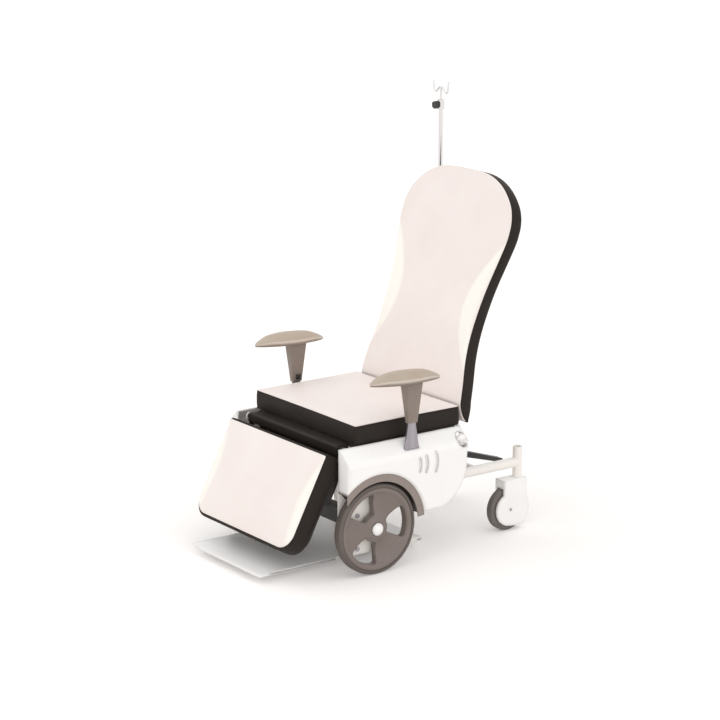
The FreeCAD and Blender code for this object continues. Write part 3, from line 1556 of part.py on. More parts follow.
doc.recompute()
faults = [thing.Label for thing in doc.Objects if {"Invalid", "Error"} & set(thing.State)]
faults += [node.Label for node in nodes if node.Shape.isNull() or not node.Shape.isValid()]
if faults:
    raise RuntimeError(f"not built: {faults}")
os.makedirs("parts", exist_ok=True)
for node in nodes:
    node.Shape.exportStep(f"parts/{node.Label}.step")
print(len(nodes), "parts")
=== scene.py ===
"""Upholstery, finishes, studio floor, light and camera of the patient transport chair."""

import bpy
import numpy as np
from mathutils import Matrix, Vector

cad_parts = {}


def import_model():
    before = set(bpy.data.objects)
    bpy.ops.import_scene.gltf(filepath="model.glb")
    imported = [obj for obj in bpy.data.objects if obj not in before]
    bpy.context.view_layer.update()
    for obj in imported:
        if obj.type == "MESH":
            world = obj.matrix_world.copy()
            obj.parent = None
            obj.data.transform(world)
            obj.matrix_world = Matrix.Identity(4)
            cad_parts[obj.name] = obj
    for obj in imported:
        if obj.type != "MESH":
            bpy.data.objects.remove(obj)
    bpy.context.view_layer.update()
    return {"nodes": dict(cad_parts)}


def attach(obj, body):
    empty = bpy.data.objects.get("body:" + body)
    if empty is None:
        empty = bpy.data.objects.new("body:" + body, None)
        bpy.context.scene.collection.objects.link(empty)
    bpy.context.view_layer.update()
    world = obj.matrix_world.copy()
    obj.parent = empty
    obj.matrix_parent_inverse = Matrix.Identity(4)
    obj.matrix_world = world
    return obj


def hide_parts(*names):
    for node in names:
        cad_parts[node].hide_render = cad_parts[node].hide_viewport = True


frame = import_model()
scene = bpy.context.scene
scene.view_settings.view_transform = "Standard"


SMALL_STEP = 1e-4
HOLD_POWER = 10


# Surfaces

def mesh_piece(name, points, faces):
    """A smooth mesh object from an array of points and rows of point numbers."""
    mesh = bpy.data.meshes.new(name)
    mesh.from_pydata(points.tolist(), [], [list(map(int, face)) for face in faces])
    mesh.polygons.foreach_set("use_smooth", np.ones(len(mesh.polygons), bool))
    mesh.update()
    piece = bpy.data.objects.new(name, mesh)
    scene.collection.objects.link(piece)
    return piece


def unit(rows):
    """The rows, each of length 1."""
    return rows / np.linalg.norm(rows, axis=1)[:, None]


def vertex_points(mesh):
    """The mesh's points as an array of rows."""
    flat = np.empty(3 * len(mesh.vertices), np.float32)
    mesh.vertices.foreach_get("co", flat)
    return flat.reshape(-1, 3).astype(float)


def smoothed(piece):
    """One live subdivision, the same in the view and in the render."""
    modifier = piece.modifiers.new("Smooth", "SUBSURF")
    modifier.levels = 1
    modifier.render_levels = 1
    return piece


def ring_bands(rows):
    """Quads between neighbouring rows of point numbers, each row closed on itself."""
    low, high = rows[:-1], rows[1:]
    quads = np.stack([low, np.roll(low, -1, 1), np.roll(high, -1, 1), high], -1)
    return quads.reshape(-1, 4)


def sheet_quads(rows, columns):
    """Quads of an open grid, numbered row by row."""
    number = np.arange(rows * columns).reshape(rows, columns)
    quads = np.stack([number[:-1, :-1], number[:-1, 1:], number[1:, 1:], number[1:, :-1]], -1)
    return quads.reshape(-1, 4)


def outline(corners, step=0.002):
    """Closed line through corners (x, y, radius): straight where the radius is 0, else an arc to the next
    corner, bowed outwards where the radius is positive. The line runs anticlockwise."""
    runs = []
    for (x, y, radius), (end_x, end_y, _) in zip(corners, corners[1:] + corners[:1]):
        start, end = np.array([x, y]), np.array([end_x, end_y])
        span = end - start
        chord = np.hypot(*span)
        count = max(6, int(chord / step))
        share = np.arange(count) / count
        if radius == 0:
            runs.append(start + span * share[:, None])
            continue
        side = np.sign(radius)
        left = np.array([-span[1], span[0]]) / chord
        centre = (start + end) / 2 + left * side * np.sqrt(max(radius ** 2 - chord ** 2 / 4, 0.0))
        turn = 2 * side * np.arcsin(min(chord / (2 * abs(radius)), 1.0)) * share
        spoke = start - centre
        runs.append(centre + np.stack([
            spoke[0] * np.cos(turn) - spoke[1] * np.sin(turn),
            spoke[0] * np.sin(turn) + spoke[1] * np.cos(turn),
        ], 1))
    return np.concatenate(runs)


def at_length(spots, length, line):
    """Points of a line, given with its length at every point, at the lengths asked for."""
    return np.stack([np.interp(spots, length, line[:, k]) for k in range(line.shape[1])], 1)


def four_sides(loop, corners, counts):
    """The loop cut at the points nearest to its four corners, each side shared out evenly by length."""
    marks = [int(np.argmin(np.hypot(*(loop - np.array(corner)).T))) for corner in corners]
    sides = []
    for first, last, count in zip(marks, marks[1:] + marks[:1], counts * 2):
        last = last if last > first else last + len(loop)
        run = loop[np.arange(first, last + 1) % len(loop)]
        length = np.concatenate([[0.0], np.cumsum(np.hypot(*np.diff(run, axis=0).T))])
        even = np.linspace(0.0, length[-1], count + 1)[:-1]
        sides.append(at_length(even, length, run))
    return np.concatenate(sides)


def box_ring(half, low, high, counts, low_corner, high_corner, side_bow=0.0, end_bow=0.0):
    """Ring of a rectangle with rounded corners. Its sides and its two ends are straight or bowed arcs."""
    loop = outline([
        (-half + low_corner, low, end_bow), (half - low_corner, low, low_corner),
        (half, low + low_corner, side_bow), (half, high - high_corner, high_corner),
        (half - high_corner, high, end_bow), (-half + high_corner, high, high_corner),
        (-half, high - high_corner, side_bow), (-half, low + low_corner, low_corner),
    ])
    return four_sides(loop, [(-half, low), (half, low), (half, high), (-half, high)], counts)


def inset(ring, distance):
    """The ring moved inwards by the distance along its own normals."""
    along = unit(np.roll(ring, -1, 0) - np.roll(ring, 1, 0))
    return ring + distance * np.stack([-along[:, 1], along[:, 0]], 1)


def filled(ring, counts):
    """Grid inside a ring of four sides: the two ruled surfaces between facing sides, added, less the
    bilinear surface through the four corners."""
    across, deep = counts
    front = ring[:across + 1]
    right = ring[across:across + deep + 1]
    rear = ring[across + deep:2 * across + deep + 1][::-1]
    left = np.concatenate([ring[2 * across + deep:], ring[:1]])[::-1]
    s = np.linspace(0.0, 1.0, across + 1)[None, :, None]
    t = np.linspace(0.0, 1.0, deep + 1)[:, None, None]
    ruled = (1 - t) * front[None] + t * rear[None] + (1 - s) * left[:, None] + s * right[:, None]
    corners = (1 - t) * ((1 - s) * front[0] + s * front[-1]) + t * ((1 - s) * rear[0] + s * rear[-1])
    return (ruled - corners).reshape(-1, 2)


def grid_rim(counts):
    """Numbers of the grid's border points, in the order of the ring."""
    across, deep = counts
    number = np.arange((deep + 1) * (across + 1)).reshape(deep + 1, across + 1)
    return np.concatenate([number[0, :-1], number[:-1, -1], number[-1, :0:-1], number[:0:-1, 0]])


def pillow(counts, power):
    """1 in the middle of the grid and 0 on its border: (1 - |2s-1|^power) times (1 - |2t-1|^power)."""
    across, deep = counts
    s = 1 - np.abs(np.linspace(-1.0, 1.0, across + 1)) ** power
    t = 1 - np.abs(np.linspace(-1.0, 1.0, deep + 1)) ** power
    return (t[:, None] * s[None, :]).reshape(-1)


def pad(name, ring, counts, profile, crown, place):
    """A closed pad. A grid lies below, the ring climbs inset by inset along the profile (inset, height), and
    a grid raised by the crown closes it above. Place turns (across, along, up) into the chair's frame.
    Returns the piece and its looseness: 0 where the cover is held, up to 1 in the middle of the top."""
    across, deep = counts
    nodes, border = (across + 1) * (deep + 1), grid_rim(counts)
    middle = profile[1:-1]
    low = filled(inset(ring, profile[0][0]), counts)
    high = filled(inset(ring, profile[-1][0]), counts)
    flat = np.concatenate([low] + [inset(ring, reach) for reach, _ in middle] + [high])
    up = np.concatenate([
        np.full(nodes, profile[0][1]), np.repeat([height for _, height in middle], len(ring)),
        profile[-1][1] + crown(high[:, 0], high[:, 1]),
    ])
    rows = np.arange(len(middle) * len(ring)).reshape(len(middle), len(ring)) + nodes
    top = nodes + len(middle) * len(ring)
    quads = sheet_quads(deep + 1, across + 1)
    faces = np.concatenate([
        quads[:, ::-1], ring_bands(np.concatenate([border[None], rows, top + border[None]])), quads + top
    ])
    piece = mesh_piece(name, place(flat[:, 0], flat[:, 1], up), faces)
    loose = np.concatenate([np.zeros(top), pillow(counts, HOLD_POWER)])
    return piece, loose


def stuffed(piece, loose, rise, pressure=4.0, frames=16):
    """Fills the cover: cloth under inner pressure, held where it isn't loose. Afterwards all moves are scaled
    so that the greatest one is the rise."""
    start = vertex_points(piece.data)
    work = piece.copy()
    work.data = piece.data.copy()
    scene.collection.objects.link(work)
    held = work.vertex_groups.new(name="held")
    held.add(np.flatnonzero(loose <= 0).tolist(), 1.0, "REPLACE")
    cloth = work.modifiers.new("Filling", "CLOTH")
    cloth.settings.use_pressure = True
    cloth.settings.uniform_pressure_force = pressure
    cloth.settings.vertex_group_mass = "held"
    cloth.settings.effector_weights.gravity = 0.0
    cloth.collision_settings.use_collision = False
    cloth.point_cache.frame_start = 1
    cloth.point_cache.frame_end = frames
    for number in range(1, frames + 1):
        scene.frame_set(number)
    graph = bpy.context.evaluated_depsgraph_get()
    moved = vertex_points(work.evaluated_get(graph).data)
    bpy.data.objects.remove(work)
    scene.frame_set(1)
    shift = (moved - start) * loose[:, None]
    longest = np.linalg.norm(shift, axis=1).max()
    shift *= rise / max(longest, rise)
    piece.data.vertices.foreach_set("co", (start + shift).astype(np.float32).ravel())
    piece.data.update()


def carried(section, path, up):
    """A section (side, up) carried along a closed path: at every point it stands square to the path, its
    second axis as near as may be to the given up direction. Returns a row of points per path point."""
    ahead = unit(np.roll(path, -1, 0) - np.roll(path, 1, 0))
    across = unit(np.cross(ahead, up))
    upward = np.cross(across, ahead)
    return path[:, None] + section[None, :, :1] * across[:, None] + section[None, :, 1:] * upward[:, None]


def circle(radius, sides):
    """Points of a circle, turning from the first axis towards the second."""
    turn = 2 * np.pi * np.arange(sides) / sides
    return radius * np.stack([np.cos(turn), np.sin(turn)], 1)


def welt(name, path, up, radius=0.0016, sides=8):
    """A closed cord of round section sewn in along a closed path."""
    rings = carried(circle(radius, sides), path, up)
    count = len(path)
    rows = np.arange(count * sides).reshape(count, sides)
    rows = np.concatenate([rows, rows[:1]])
    faces = ring_bands(rows)[:, ::-1]
    return mesh_piece(name, rings.reshape(-1, 3), faces)


def stitches(name, path, up, spacing=0.007, length=0.0045, thick=0.0009):
    """A row of thread stitches on an even spacing along a closed path: each is a six-sided bar, tapered and
    sunk at both ends."""
    steps = np.linalg.norm(np.diff(path, axis=0, append=path[:1]), axis=1)
    along = np.concatenate([[0.0], np.cumsum(steps)])
    count = int(along[-1] / spacing)
    spots = np.arange(count) * along[-1] / count
    ring = np.concatenate([path, path[:1]])
    lift = np.concatenate([up, up[:1]])
    spot, out = at_length(spots, along, ring), at_length(spots, along, lift)
    next_spot = at_length(spots + SMALL_STEP, along, ring)
    ahead = unit(next_spot - spot)
    side = unit(np.cross(ahead, out))
    out = np.cross(side, ahead)
    # Along the stitch: place, thickness share and height of each of its four six-sided rings.
    place = np.array([-0.5, -0.3, 0.3, 0.5]) * length
    swell = np.array([0.35, 1.0, 1.0, 0.35]) * thick / 2
    height = np.array([-0.4, 0.25, 0.25, -0.4]) * thick
    sides = 6
    hexagon = circle(1.0, sides)
    local = np.concatenate([
        np.stack([np.full(sides, a), hexagon[:, 0] * w, hexagon[:, 1] * w + h], 1)
        for a, w, h in zip(place, swell, height)
    ])
    axes = np.stack([ahead, side, out], 1)
    points = spot[:, None] + np.einsum("pk,nkc->npc", local, axes)
    rows = np.arange(len(local)).reshape(-1, sides)
    one = ring_bands(rows).tolist() + [rows[0, ::-1].tolist(), rows[-1].tolist()]
    faces = [[len(local) * number + corner for corner in face] for number in range(count) for face in one]
    return mesh_piece(name, points.reshape(-1, 3), faces)


def block(name, low, high):
    """A plain box between two corners."""
    corners = np.array([[x, y, z] for x in (0, 1) for y in (0, 1) for z in (0, 1)])
    points = np.array(low) + corners * (np.array(high) - np.array(low))
    faces = [[0, 1, 3, 2], [4, 6, 7, 5], [0, 4, 5, 1], [2, 3, 7, 6], [0, 2, 6, 4], [1, 5, 7, 3]]
    piece = mesh_piece(name, points, faces)
    piece.data.polygons.foreach_set("use_smooth", np.zeros(6, bool))
    return piece


# Finishes

def tint(red, green, blue):
    """Linear colour of a screen colour given from 0 to 255."""
    screen = np.array([red, green, blue]) / 255
    linear = np.where(screen <= 0.04045, screen / 12.92, ((screen + 0.055) / 1.055) ** 2.4)
    return (*linear.tolist(), 1.0)


class Tree:
    """A node tree with short ways to add and join nodes."""

    def __init__(self, tree):
        self.tree = tree

    def join(self, value, socket):
        if isinstance(value, bpy.types.NodeSocket):
            self.tree.links.new(value, socket)
        else:
            socket.default_value = value

    def add(self, kind, inputs=None, **settings):
        node = self.tree.nodes.new(kind)
        for name, value in settings.items():
            setattr(node, name, value)
        for name, value in (inputs or {}).items():
            self.join(value, node.inputs[name])
        return node

    def math(self, operation, first, second=0.5):
        node = self.add("ShaderNodeMath", {0: first, 1: second}, operation=operation)
        return node.outputs[0]

    def ramp(self, value, low, high, to_low=0.0, to_high=1.0):
        node = self.add("ShaderNodeMapRange", {
            "Value": value, "From Min": low, "From Max": high, "To Min": to_low, "To Max": to_high
        })
        return node.outputs["Result"]

    def blend(self, share, first, second, kind="Color", data_type="RGBA"):
        node = self.add("ShaderNodeMix", data_type=data_type)
        for name, value in (("Factor_Float", share), ("A_" + kind, first), ("B_" + kind, second)):
            self.join(value, next(s for s in node.inputs if s.identifier == name))
        return next(s for s in node.outputs if s.identifier == "Result_" + kind)

    def noise(self, place, scale, detail=3.0):
        node = self.add("ShaderNodeTexNoise", {"Vector": place, "Scale": scale, "Detail": detail})
        return node.outputs["Fac"]


def effect(name, inputs, outputs):
    """A shader node group with these named inputs (label, kind, value) and outputs (labels of numbers)."""
    group = bpy.data.node_groups.new(name, "ShaderNodeTree")
    for label, kind, value in inputs:
        socket = group.interface.new_socket(label, in_out="INPUT", socket_type=kind)
        if value is not None:
            socket.default_value = value
    for label in outputs:
        group.interface.new_socket(label, in_out="OUTPUT", socket_type="NodeSocketFloat")
    tree = Tree(group)
    return group, tree, tree.add("NodeGroupInput").outputs, tree.add("NodeGroupOutput")


PLACE = ("Place", "NodeSocketVector", None)
CELLS = ("Cells per metre", "NodeSocketFloat", 900.0)


def hide_grain():
    """Pebbled grain of coated fabric: cells with creases between them, over fine dust-like noise."""
    group, tree, given, out = effect("Hide grain", [PLACE, CELLS], ["Height", "Tone"])
    warp = tree.add("ShaderNodeTexNoise", {"Vector": given["Place"], "Scale": 160.0, "Detail": 2.0})
    bent = tree.blend(0.002, given["Place"], warp.outputs["Color"], "Vector", "VECTOR")
    cells = tree.add("ShaderNodeTexVoronoi", {
        "Vector": bent, "Scale": given["Cells per metre"]
    }, feature="DISTANCE_TO_EDGE")
    pebbles = tree.ramp(cells.outputs["Distance"], 0.0, 0.22)
    fine = tree.noise(given["Place"], 2600.0, 2.0)
    height = tree.math("ADD", pebbles, tree.math("MULTIPLY", fine, 0.25))
    tree.join(height, out.inputs["Height"])
    tone = tree.noise(given["Place"], 7.0, 4.0)
    tree.join(tree.ramp(tone, 0.3, 0.7), out.inputs["Tone"])
    return group


def moulded_skin():
    """Spark-eroded mould texture: two sizes of noise, and a slow drift of tone."""
    group, tree, given, out = effect("Moulded skin", [PLACE, CELLS], ["Height", "Tone"])
    coarse = tree.noise(given["Place"], given["Cells per metre"], 2.0)
    fine = tree.noise(given["Place"], 2400.0, 2.0)
    height = tree.math("ADD", coarse, tree.math("MULTIPLY", fine, 0.5))
    tree.join(height, out.inputs["Height"])
    tone = tree.noise(given["Place"], 11.0, 4.0)
    tree.join(tree.ramp(tone, 0.3, 0.7), out.inputs["Tone"])
    return group


def drawn_metal():
    """Fine lines along the metal: noise drawn out in one direction, with slow bands of tone."""
    group, tree, given, out = effect("Drawn metal", [PLACE, CELLS], ["Height", "Tone"])
    long = tree.add("ShaderNodeVectorMath", {0: given["Place"], 1: (1.0, 1.0, 0.03)}, operation="MULTIPLY")
    lines = tree.noise(long.outputs["Vector"], given["Cells per metre"], 3.0)
    tree.join(lines, out.inputs["Height"])
    tone = tree.noise(long.outputs["Vector"], 60.0, 3.0)
    tree.join(tree.ramp(tone, 0.3, 0.7), out.inputs["Tone"])
    return group


def wood_figure():
    """Layers of a plywood board: bands bent by noise."""
    group, tree, given, out = effect("Wood figure", [PLACE, CELLS], ["Height", "Tone"])
    long = tree.add("ShaderNodeVectorMath", {0: given["Place"], 1: (0.12, 1.0, 1.0)}, operation="MULTIPLY")
    figure = tree.noise(long.outputs["Vector"], given["Cells per metre"], 5.0)
    tree.join(figure, out.inputs["Height"])
    tree.join(tree.ramp(figure, 0.35, 0.65), out.inputs["Tone"])
    return group


def edge_wear():
    """1 on edges that hands and feet rub, broken up by noise: where a rounded normal leaves the true one."""
    group, tree, given, out = effect("Edge wear", [PLACE, ("Width", "NodeSocketFloat", 0.0015)], ["Mask"])
    rounded = tree.add("ShaderNodeBevel", {"Radius": given["Width"]}, samples=4)
    true = tree.add("ShaderNodeNewGeometry")
    dot = tree.add("ShaderNodeVectorMath", {
        0: rounded.outputs["Normal"], 1: true.outputs["Normal"]
    }, operation="DOT_PRODUCT")
    edge = tree.ramp(dot.outputs["Value"], 0.99, 0.86)
    broken = tree.ramp(tree.noise(given["Place"], 75.0, 4.0), 0.42, 0.68)
    tree.join(tree.math("MULTIPLY", edge, broken), out.inputs["Mask"])
    return group


def settled_dust():
    """1 where dust lies: on level faces and low above the floor, in noisy patches."""
    group, tree, given, out = effect(
        "Settled dust", [PLACE, ("Reach above floor", "NodeSocketFloat", 0.2)], ["Mask"]
    )
    true = tree.add("ShaderNodeNewGeometry")
    normal = tree.add("ShaderNodeSeparateXYZ", {0: true.outputs["Normal"]})
    level = tree.ramp(normal.outputs["Z"], 0.3, 1.0, 0.15, 1.0)
    place = tree.add("ShaderNodeSeparateXYZ", {0: given["Place"]})
    share = tree.math("DIVIDE", place.outputs["Z"], given["Reach above floor"])
    low = tree.ramp(share, 0.0, 1.0, 1.0, 0.25)
    patches = tree.ramp(tree.noise(given["Place"], 34.0, 5.0), 0.38, 0.75)
    tree.join(tree.math("MULTIPLY", tree.math("MULTIPLY", level, low), patches), out.inputs["Mask"])
    return group


RELIEFS = {"hide": hide_grain(), "skin": moulded_skin(), "drawn": drawn_metal(), "wood": wood_figure()}
WEAR, DUST = edge_wear(), settled_dust()
WEAR_SHARE, RELIEF_DEPTH = 0.7, 0.0004
DUST_COLOUR = tint(176, 168, 158)


def finish(
    name, colour, drift, relief, cells, bump, rough, metallic=0.0, coat=0.0,
    wear=None, dust=0.1, second=None, painted_shade=None, specular=0.5, soft_edge=0.0,
):
    """A material: a colour that drifts, a relief that bumps it, rubbed edges and settled dust. A share
    written on the points takes the colour over to a second colour, a painted highlight, or below 0 to a
    painted shade colour; a soft edge rounds the normals over that radius."""
    material = bpy.data.materials.new("finish_" + name)
    material.use_nodes = True
    tree = Tree(material.node_tree)
    surface = material.node_tree.nodes["Principled BSDF"]
    place = tree.add("ShaderNodeTexCoord").outputs["Object"]
    pattern = tree.add("ShaderNodeGroup", node_tree=RELIEFS[relief])
    pattern.inputs["Cells per metre"].default_value = cells
    tree.join(place, pattern.inputs["Place"])
    base = tree.blend(pattern.outputs["Tone"], colour, drift)
    # Painted light: the written share blends towards the painted highlight above 0 and towards the painted
    # shade below 0.
    if second:
        lit_or_shaded = tree.add("ShaderNodeAttribute", attribute_name="painted_light_share").outputs["Fac"]
        base = tree.blend(tree.math("MAXIMUM", lit_or_shaded, 0.0), base, second)
        if painted_shade:
            base = tree.blend(tree.math("MAXIMUM", tree.math("MULTIPLY", lit_or_shaded, -1.0), 0.0), base, painted_shade)
    if wear:
        rubbed = tree.add("ShaderNodeGroup", node_tree=WEAR)
        tree.join(place, rubbed.inputs["Place"])
        base = tree.blend(tree.math("MULTIPLY", rubbed.outputs["Mask"], WEAR_SHARE), base, wear)
    dusty = tree.add("ShaderNodeGroup", node_tree=DUST)
    tree.join(place, dusty.inputs["Place"])
    film = tree.math("MULTIPLY", dusty.outputs["Mask"], dust)
    base = tree.blend(film, base, DUST_COLOUR)
    roughness = tree.ramp(pattern.outputs["Tone"], 0.0, 1.0, rough[0], rough[1])
    roughness = tree.math("ADD", roughness, tree.math("MULTIPLY", film, 0.5))
    relief_bump = tree.add("ShaderNodeBump", {
        "Height": pattern.outputs["Height"], "Strength": bump, "Distance": RELIEF_DEPTH
    })
    if soft_edge:
        rounded = tree.add("ShaderNodeBevel", {"Radius": soft_edge}, samples=6)
        tree.join(rounded.outputs["Normal"], relief_bump.inputs["Normal"])
    tree.join(base, surface.inputs["Base Color"])
    tree.join(roughness, surface.inputs["Roughness"])
    tree.join(relief_bump.outputs["Normal"], surface.inputs["Normal"])
    surface.inputs["Metallic"].default_value = metallic
    surface.inputs["Coat Weight"].default_value = coat
    surface.inputs["Specular IOR Level"].default_value = specular
    return material


FINISHES = {
    "vinyl_white": finish(
        "vinyl_white", tint(244, 234, 229), tint(240, 229, 224), "hide", 620.0, 0.16, (0.42, 0.5), dust=0.02,
        # The second colour is a painted highlight, used on the backrest's bolsters and the legrest's side
        # strips.
        second=tint(252, 248, 240),
    ),
    "vinyl_black": finish(
        "vinyl_black", tint(40, 33, 28), tint(35, 29, 24), "hide", 560.0, 0.22, (0.5, 0.6), dust=0.01,
        specular=0.2,
    ),
    "frame_white": finish(
        "frame_white", tint(249, 244, 238), tint(245, 240, 234), "skin", 1300.0, 0.08, (0.3, 0.38), coat=0.15,
        wear=tint(206, 202, 200), dust=0.08,
    ),
    "frame_dark": finish(
        "frame_dark", tint(88, 84, 84), tint(80, 76, 77), "skin", 1300.0, 0.12, (0.38, 0.48), coat=0.1,
        wear=tint(140, 137, 135), dust=0.12,
    ),
    "cover_white": finish(
        "cover_white", tint(254, 252, 250), tint(251, 249, 247), "skin", 1500.0, 0.06, (0.3, 0.4), coat=0.1,
        dust=0.04, soft_edge=0.012,
    ),
    "arch_grey": finish(
        "arch_grey", tint(150, 138, 131), tint(143, 131, 124), "skin", 1100.0, 0.12, (0.4, 0.5),
        dust=0.08, soft_edge=0.004,
    ),
    # A darker copy of the arch liner's grey: painted shade on the wheel wells' inner walls.
    "well_painted_shade": finish(
        "well_painted_shade", tint(88, 80, 76), tint(80, 73, 69), "skin", 1100.0, 0.12, (0.5, 0.6), dust=0.1,
    ),
    "rim_grey": finish(
        "rim_grey", tint(129, 117, 111), tint(122, 110, 104), "skin", 1100.0, 0.12, (0.42, 0.52),
        dust=0.1, soft_edge=0.006,
    ),
    "tyre_grey": finish(
        "tyre_grey", tint(101, 91, 86), tint(93, 84, 79), "skin", 700.0, 0.3, (0.46, 0.58),
        dust=0.16, soft_edge=0.006,
    ),
    "caster_rubber": finish(
        "caster_rubber", tint(110, 103, 98), tint(102, 95, 90), "skin", 700.0, 0.25, (0.5, 0.62),
        wear=tint(98, 92, 88), dust=0.3,
    ),
    "steel": finish(
        "steel", tint(168, 163, 168), tint(156, 151, 157), "drawn", 700.0, 0.12, (0.3, 0.42), metallic=0.85,
        dust=0.08,
    ),
    "chrome": finish(
        "chrome", tint(224, 223, 223), tint(214, 213, 214), "drawn", 900.0, 0.03, (0.12, 0.2), metallic=1.0,
        dust=0.05,
    ),
    "arm_taupe": finish(
        "arm_taupe", tint(140, 127, 118), tint(132, 119, 110), "skin", 900.0, 0.14, (0.4, 0.5),
        wear=tint(172, 160, 150), dust=0.04,
    ),
    "arm_pad": finish(
        "arm_pad", tint(186, 171, 155), tint(178, 162, 145), "skin", 900.0, 0.14, (0.38, 0.48),
        # The second colour is a painted highlight along the pad's lip, the other a painted shade on its side
        # below.
        dust=0.04, second=tint(214, 204, 192), painted_shade=tint(136, 124, 113),
    ),
    "board_wood": finish(
        "board_wood", tint(50, 45, 42), tint(42, 38, 36), "wood", 90.0, 0.1, (0.5, 0.62), dust=0.04,
    ),
    "shell_black": finish(
        "shell_black", tint(48, 44, 43), tint(42, 39, 38), "skin", 800.0, 0.3, (0.42, 0.52),
        wear=tint(84, 79, 76), dust=0.1,
    ),
    "control_black": finish(
        "control_black", tint(45, 43, 42), tint(39, 37, 37), "skin", 1000.0, 0.2, (0.36, 0.46),
        wear=tint(82, 78, 76), dust=0.08,
    ),
    "grip_rubber": finish(
        "grip_rubber", tint(52, 49, 48), tint(46, 43, 42), "skin", 520.0, 0.45, (0.6, 0.72), dust=0.06,
    ),
}

for node in frame["nodes"].values():
    for slot in node.material_slots:
        slot.material = FINISHES[slot.material.name]


def dress(piece, slot, body, *nodes, fill=None, coat=None):
    """Gives a new piece its finish, the body that carries it and the nodes that it stands for."""
    piece.data.materials.append(FINISHES[coat or slot])
    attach(piece, body)
    if nodes:
        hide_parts(*nodes)


def mark(piece, shares):
    """Writes on every point how far the finish goes over to its painted highlight colour, or below 0 to its
    painted shade colour.
    """
    attribute = piece.data.attributes.new("painted_light_share", "FLOAT", "POINT")
    attribute.data.foreach_set("value", shares.astype(np.float32))


# Seat cushion

SEAT_HALF, SEAT_FRONT, SEAT_REAR = 0.2815, -0.248, 0.173
SEAT_LOW, SEAT_SEAM = 0.424, 0.484
SEAT_CORNER, SEAT_DRAWN, SEAT_EDGE, SEAT_CROWN, SEAT_RISE = 0.007, 0.003, 0.005, 0.003, 0.006
SEAT_COUNTS = (84, 64)


def seat_place(across, along, up):
    """The seat lies level: up is the chair's own Z above the seam."""
    return np.stack([across, along, SEAT_SEAM + up], 1)


def seat_ring():
    """Rounded rectangle whose sides are drawn in between the corners, each as an arc."""
    drawn = SEAT_DRAWN
    side = SEAT_REAR - SEAT_FRONT - 2 * SEAT_CORNER
    end = 2 * (SEAT_HALF - SEAT_CORNER)
    side_bow = -(side ** 2 / 4 + drawn ** 2) / (2 * drawn)
    end_bow = -(end ** 2 / 4 + drawn ** 2) / (2 * drawn)
    return box_ring(
        SEAT_HALF, SEAT_FRONT, SEAT_REAR, SEAT_COUNTS, SEAT_CORNER, SEAT_CORNER, side_bow, end_bow
    )


def tray_profile(depth, recess, side=0.0016, edge=0.012):
    """Side band of a cushion as (inset, height): from its flat back round an edge, over a slightly full side,
    to a rim with a recess."""
    return [
        (edge, -depth), (edge * 0.46, -depth + edge * 0.07), (edge * 0.18, -depth + edge * 0.25),
        (edge * 0.04, -depth + edge * 0.58), (-side * 0.6, -depth * 0.75), (-side, -depth * 0.5),
        (-side * 0.6, -depth * 0.25), (0.0, -0.005), (0.0004, -0.002), (0.0016, -0.0006),
        (0.0040, -0.0002), (0.0100, -0.0002), (0.0108, -0.0012), (0.0110, -recess),
    ]


def flat_crown(across, along):
    """No crown."""
    return np.zeros_like(across)


# The cover's own line (inset, height): a foot in the recess, a flange over the rim and a rounded edge.
COVER_EDGE = [
    (0.0125, -0.0105), (0.0125, -0.002), (0.0118, 0.0002), (0.0100, 0.0004), (0.0050, 0.0004),
    (0.0034, 0.0009), (0.0028, 0.0022), (0.0034, 0.0036), (0.0054, 0.0046), (0.0090, 0.0052),
]
BAND_RECESS, BAND_FILL, COVER_FILL, PAD_FILL = 0.012, 0.8, 0.7, 0.9
CORD_REACH, CORD_HEIGHT, THREAD_REACH, THREAD_HEIGHT = 0.0022, 0.0002, 0.0082, 0.0052
NORMAL_STEP = 0.001


def crown_of(counts, height, power=4):
    """A crown that follows the grid: the height times the pillow of that power."""
    rise = height * pillow(counts, power)
    return lambda across, along: rise


def trim(sewn, name, ring, place, reach, height, slot, body):
    """A sewn edge on a pad, a welt or stitches, along the ring inset by the reach, at the height."""
    line = inset(ring, reach)
    path = place(line[:, 0], line[:, 1], np.full(len(line), height))
    lifted = place(line[:, 0], line[:, 1], np.full(len(line), height + NORMAL_STEP))
    dress(sewn(name, path, unit(lifted - path)), slot, body)


def trims(name, body, place, cord_ring, thread_ring, cord_height=CORD_HEIGHT):
    """The dark welt round a cover and the row of pale stitches inside it."""
    trim(welt, name + "_welt", cord_ring, place, CORD_REACH, cord_height, "vinyl_black", body)
    trim(stitches, name + "_stitching", thread_ring, place, THREAD_REACH, THREAD_HEIGHT, "vinyl_white", body)


def seat():
    """A band with drawn-in sides, and a cover with a low crown, filled from inside."""
    ring = seat_ring()
    band = tray_profile(SEAT_SEAM - SEAT_LOW, BAND_RECESS, edge=SEAT_EDGE)
    tray, _ = pad("seat_side_band", ring, SEAT_COUNTS, band, flat_crown, seat_place)
    dress(smoothed(tray), "vinyl_black", "chassis", "seat_cushion", fill=BAND_FILL)
    crown = crown_of(SEAT_COUNTS, SEAT_CROWN)
    cover, loose = pad("seat_cover", ring, SEAT_COUNTS, COVER_EDGE, crown, seat_place)
    stuffed(cover, loose, SEAT_RISE)
    dress(smoothed(cover), "vinyl_white", "chassis", "seat_top_panel", fill=COVER_FILL)
    trims("seat", "chassis", seat_place, ring, ring)


# Backrest

BACK_LOW, BACK_FACE_LOW, BACK_TURN, BACK_TOP = 0.423, 0.490, 0.750, 1.224
BACK_DEPTH = 0.046
BACK_COUNTS = (70, 112)
BACK_HALF, WAIST_HALF, WAIST_LOW, WAIST_HIGH = 0.275, 0.261, 0.580, 0.890
FOOT_BOW, WAIST_BOW, SHOULDER_BOW, HEAD_BOW, CORNER_BOW = 0.575, 0.690, 0.200, 0.122, 0.255
NECK, TEMPLE, CROWN_TOP = 0.100, 0.010, 1.204
BACK_CORNER_X, BACK_CORNER_Z = 0.236, 1.144

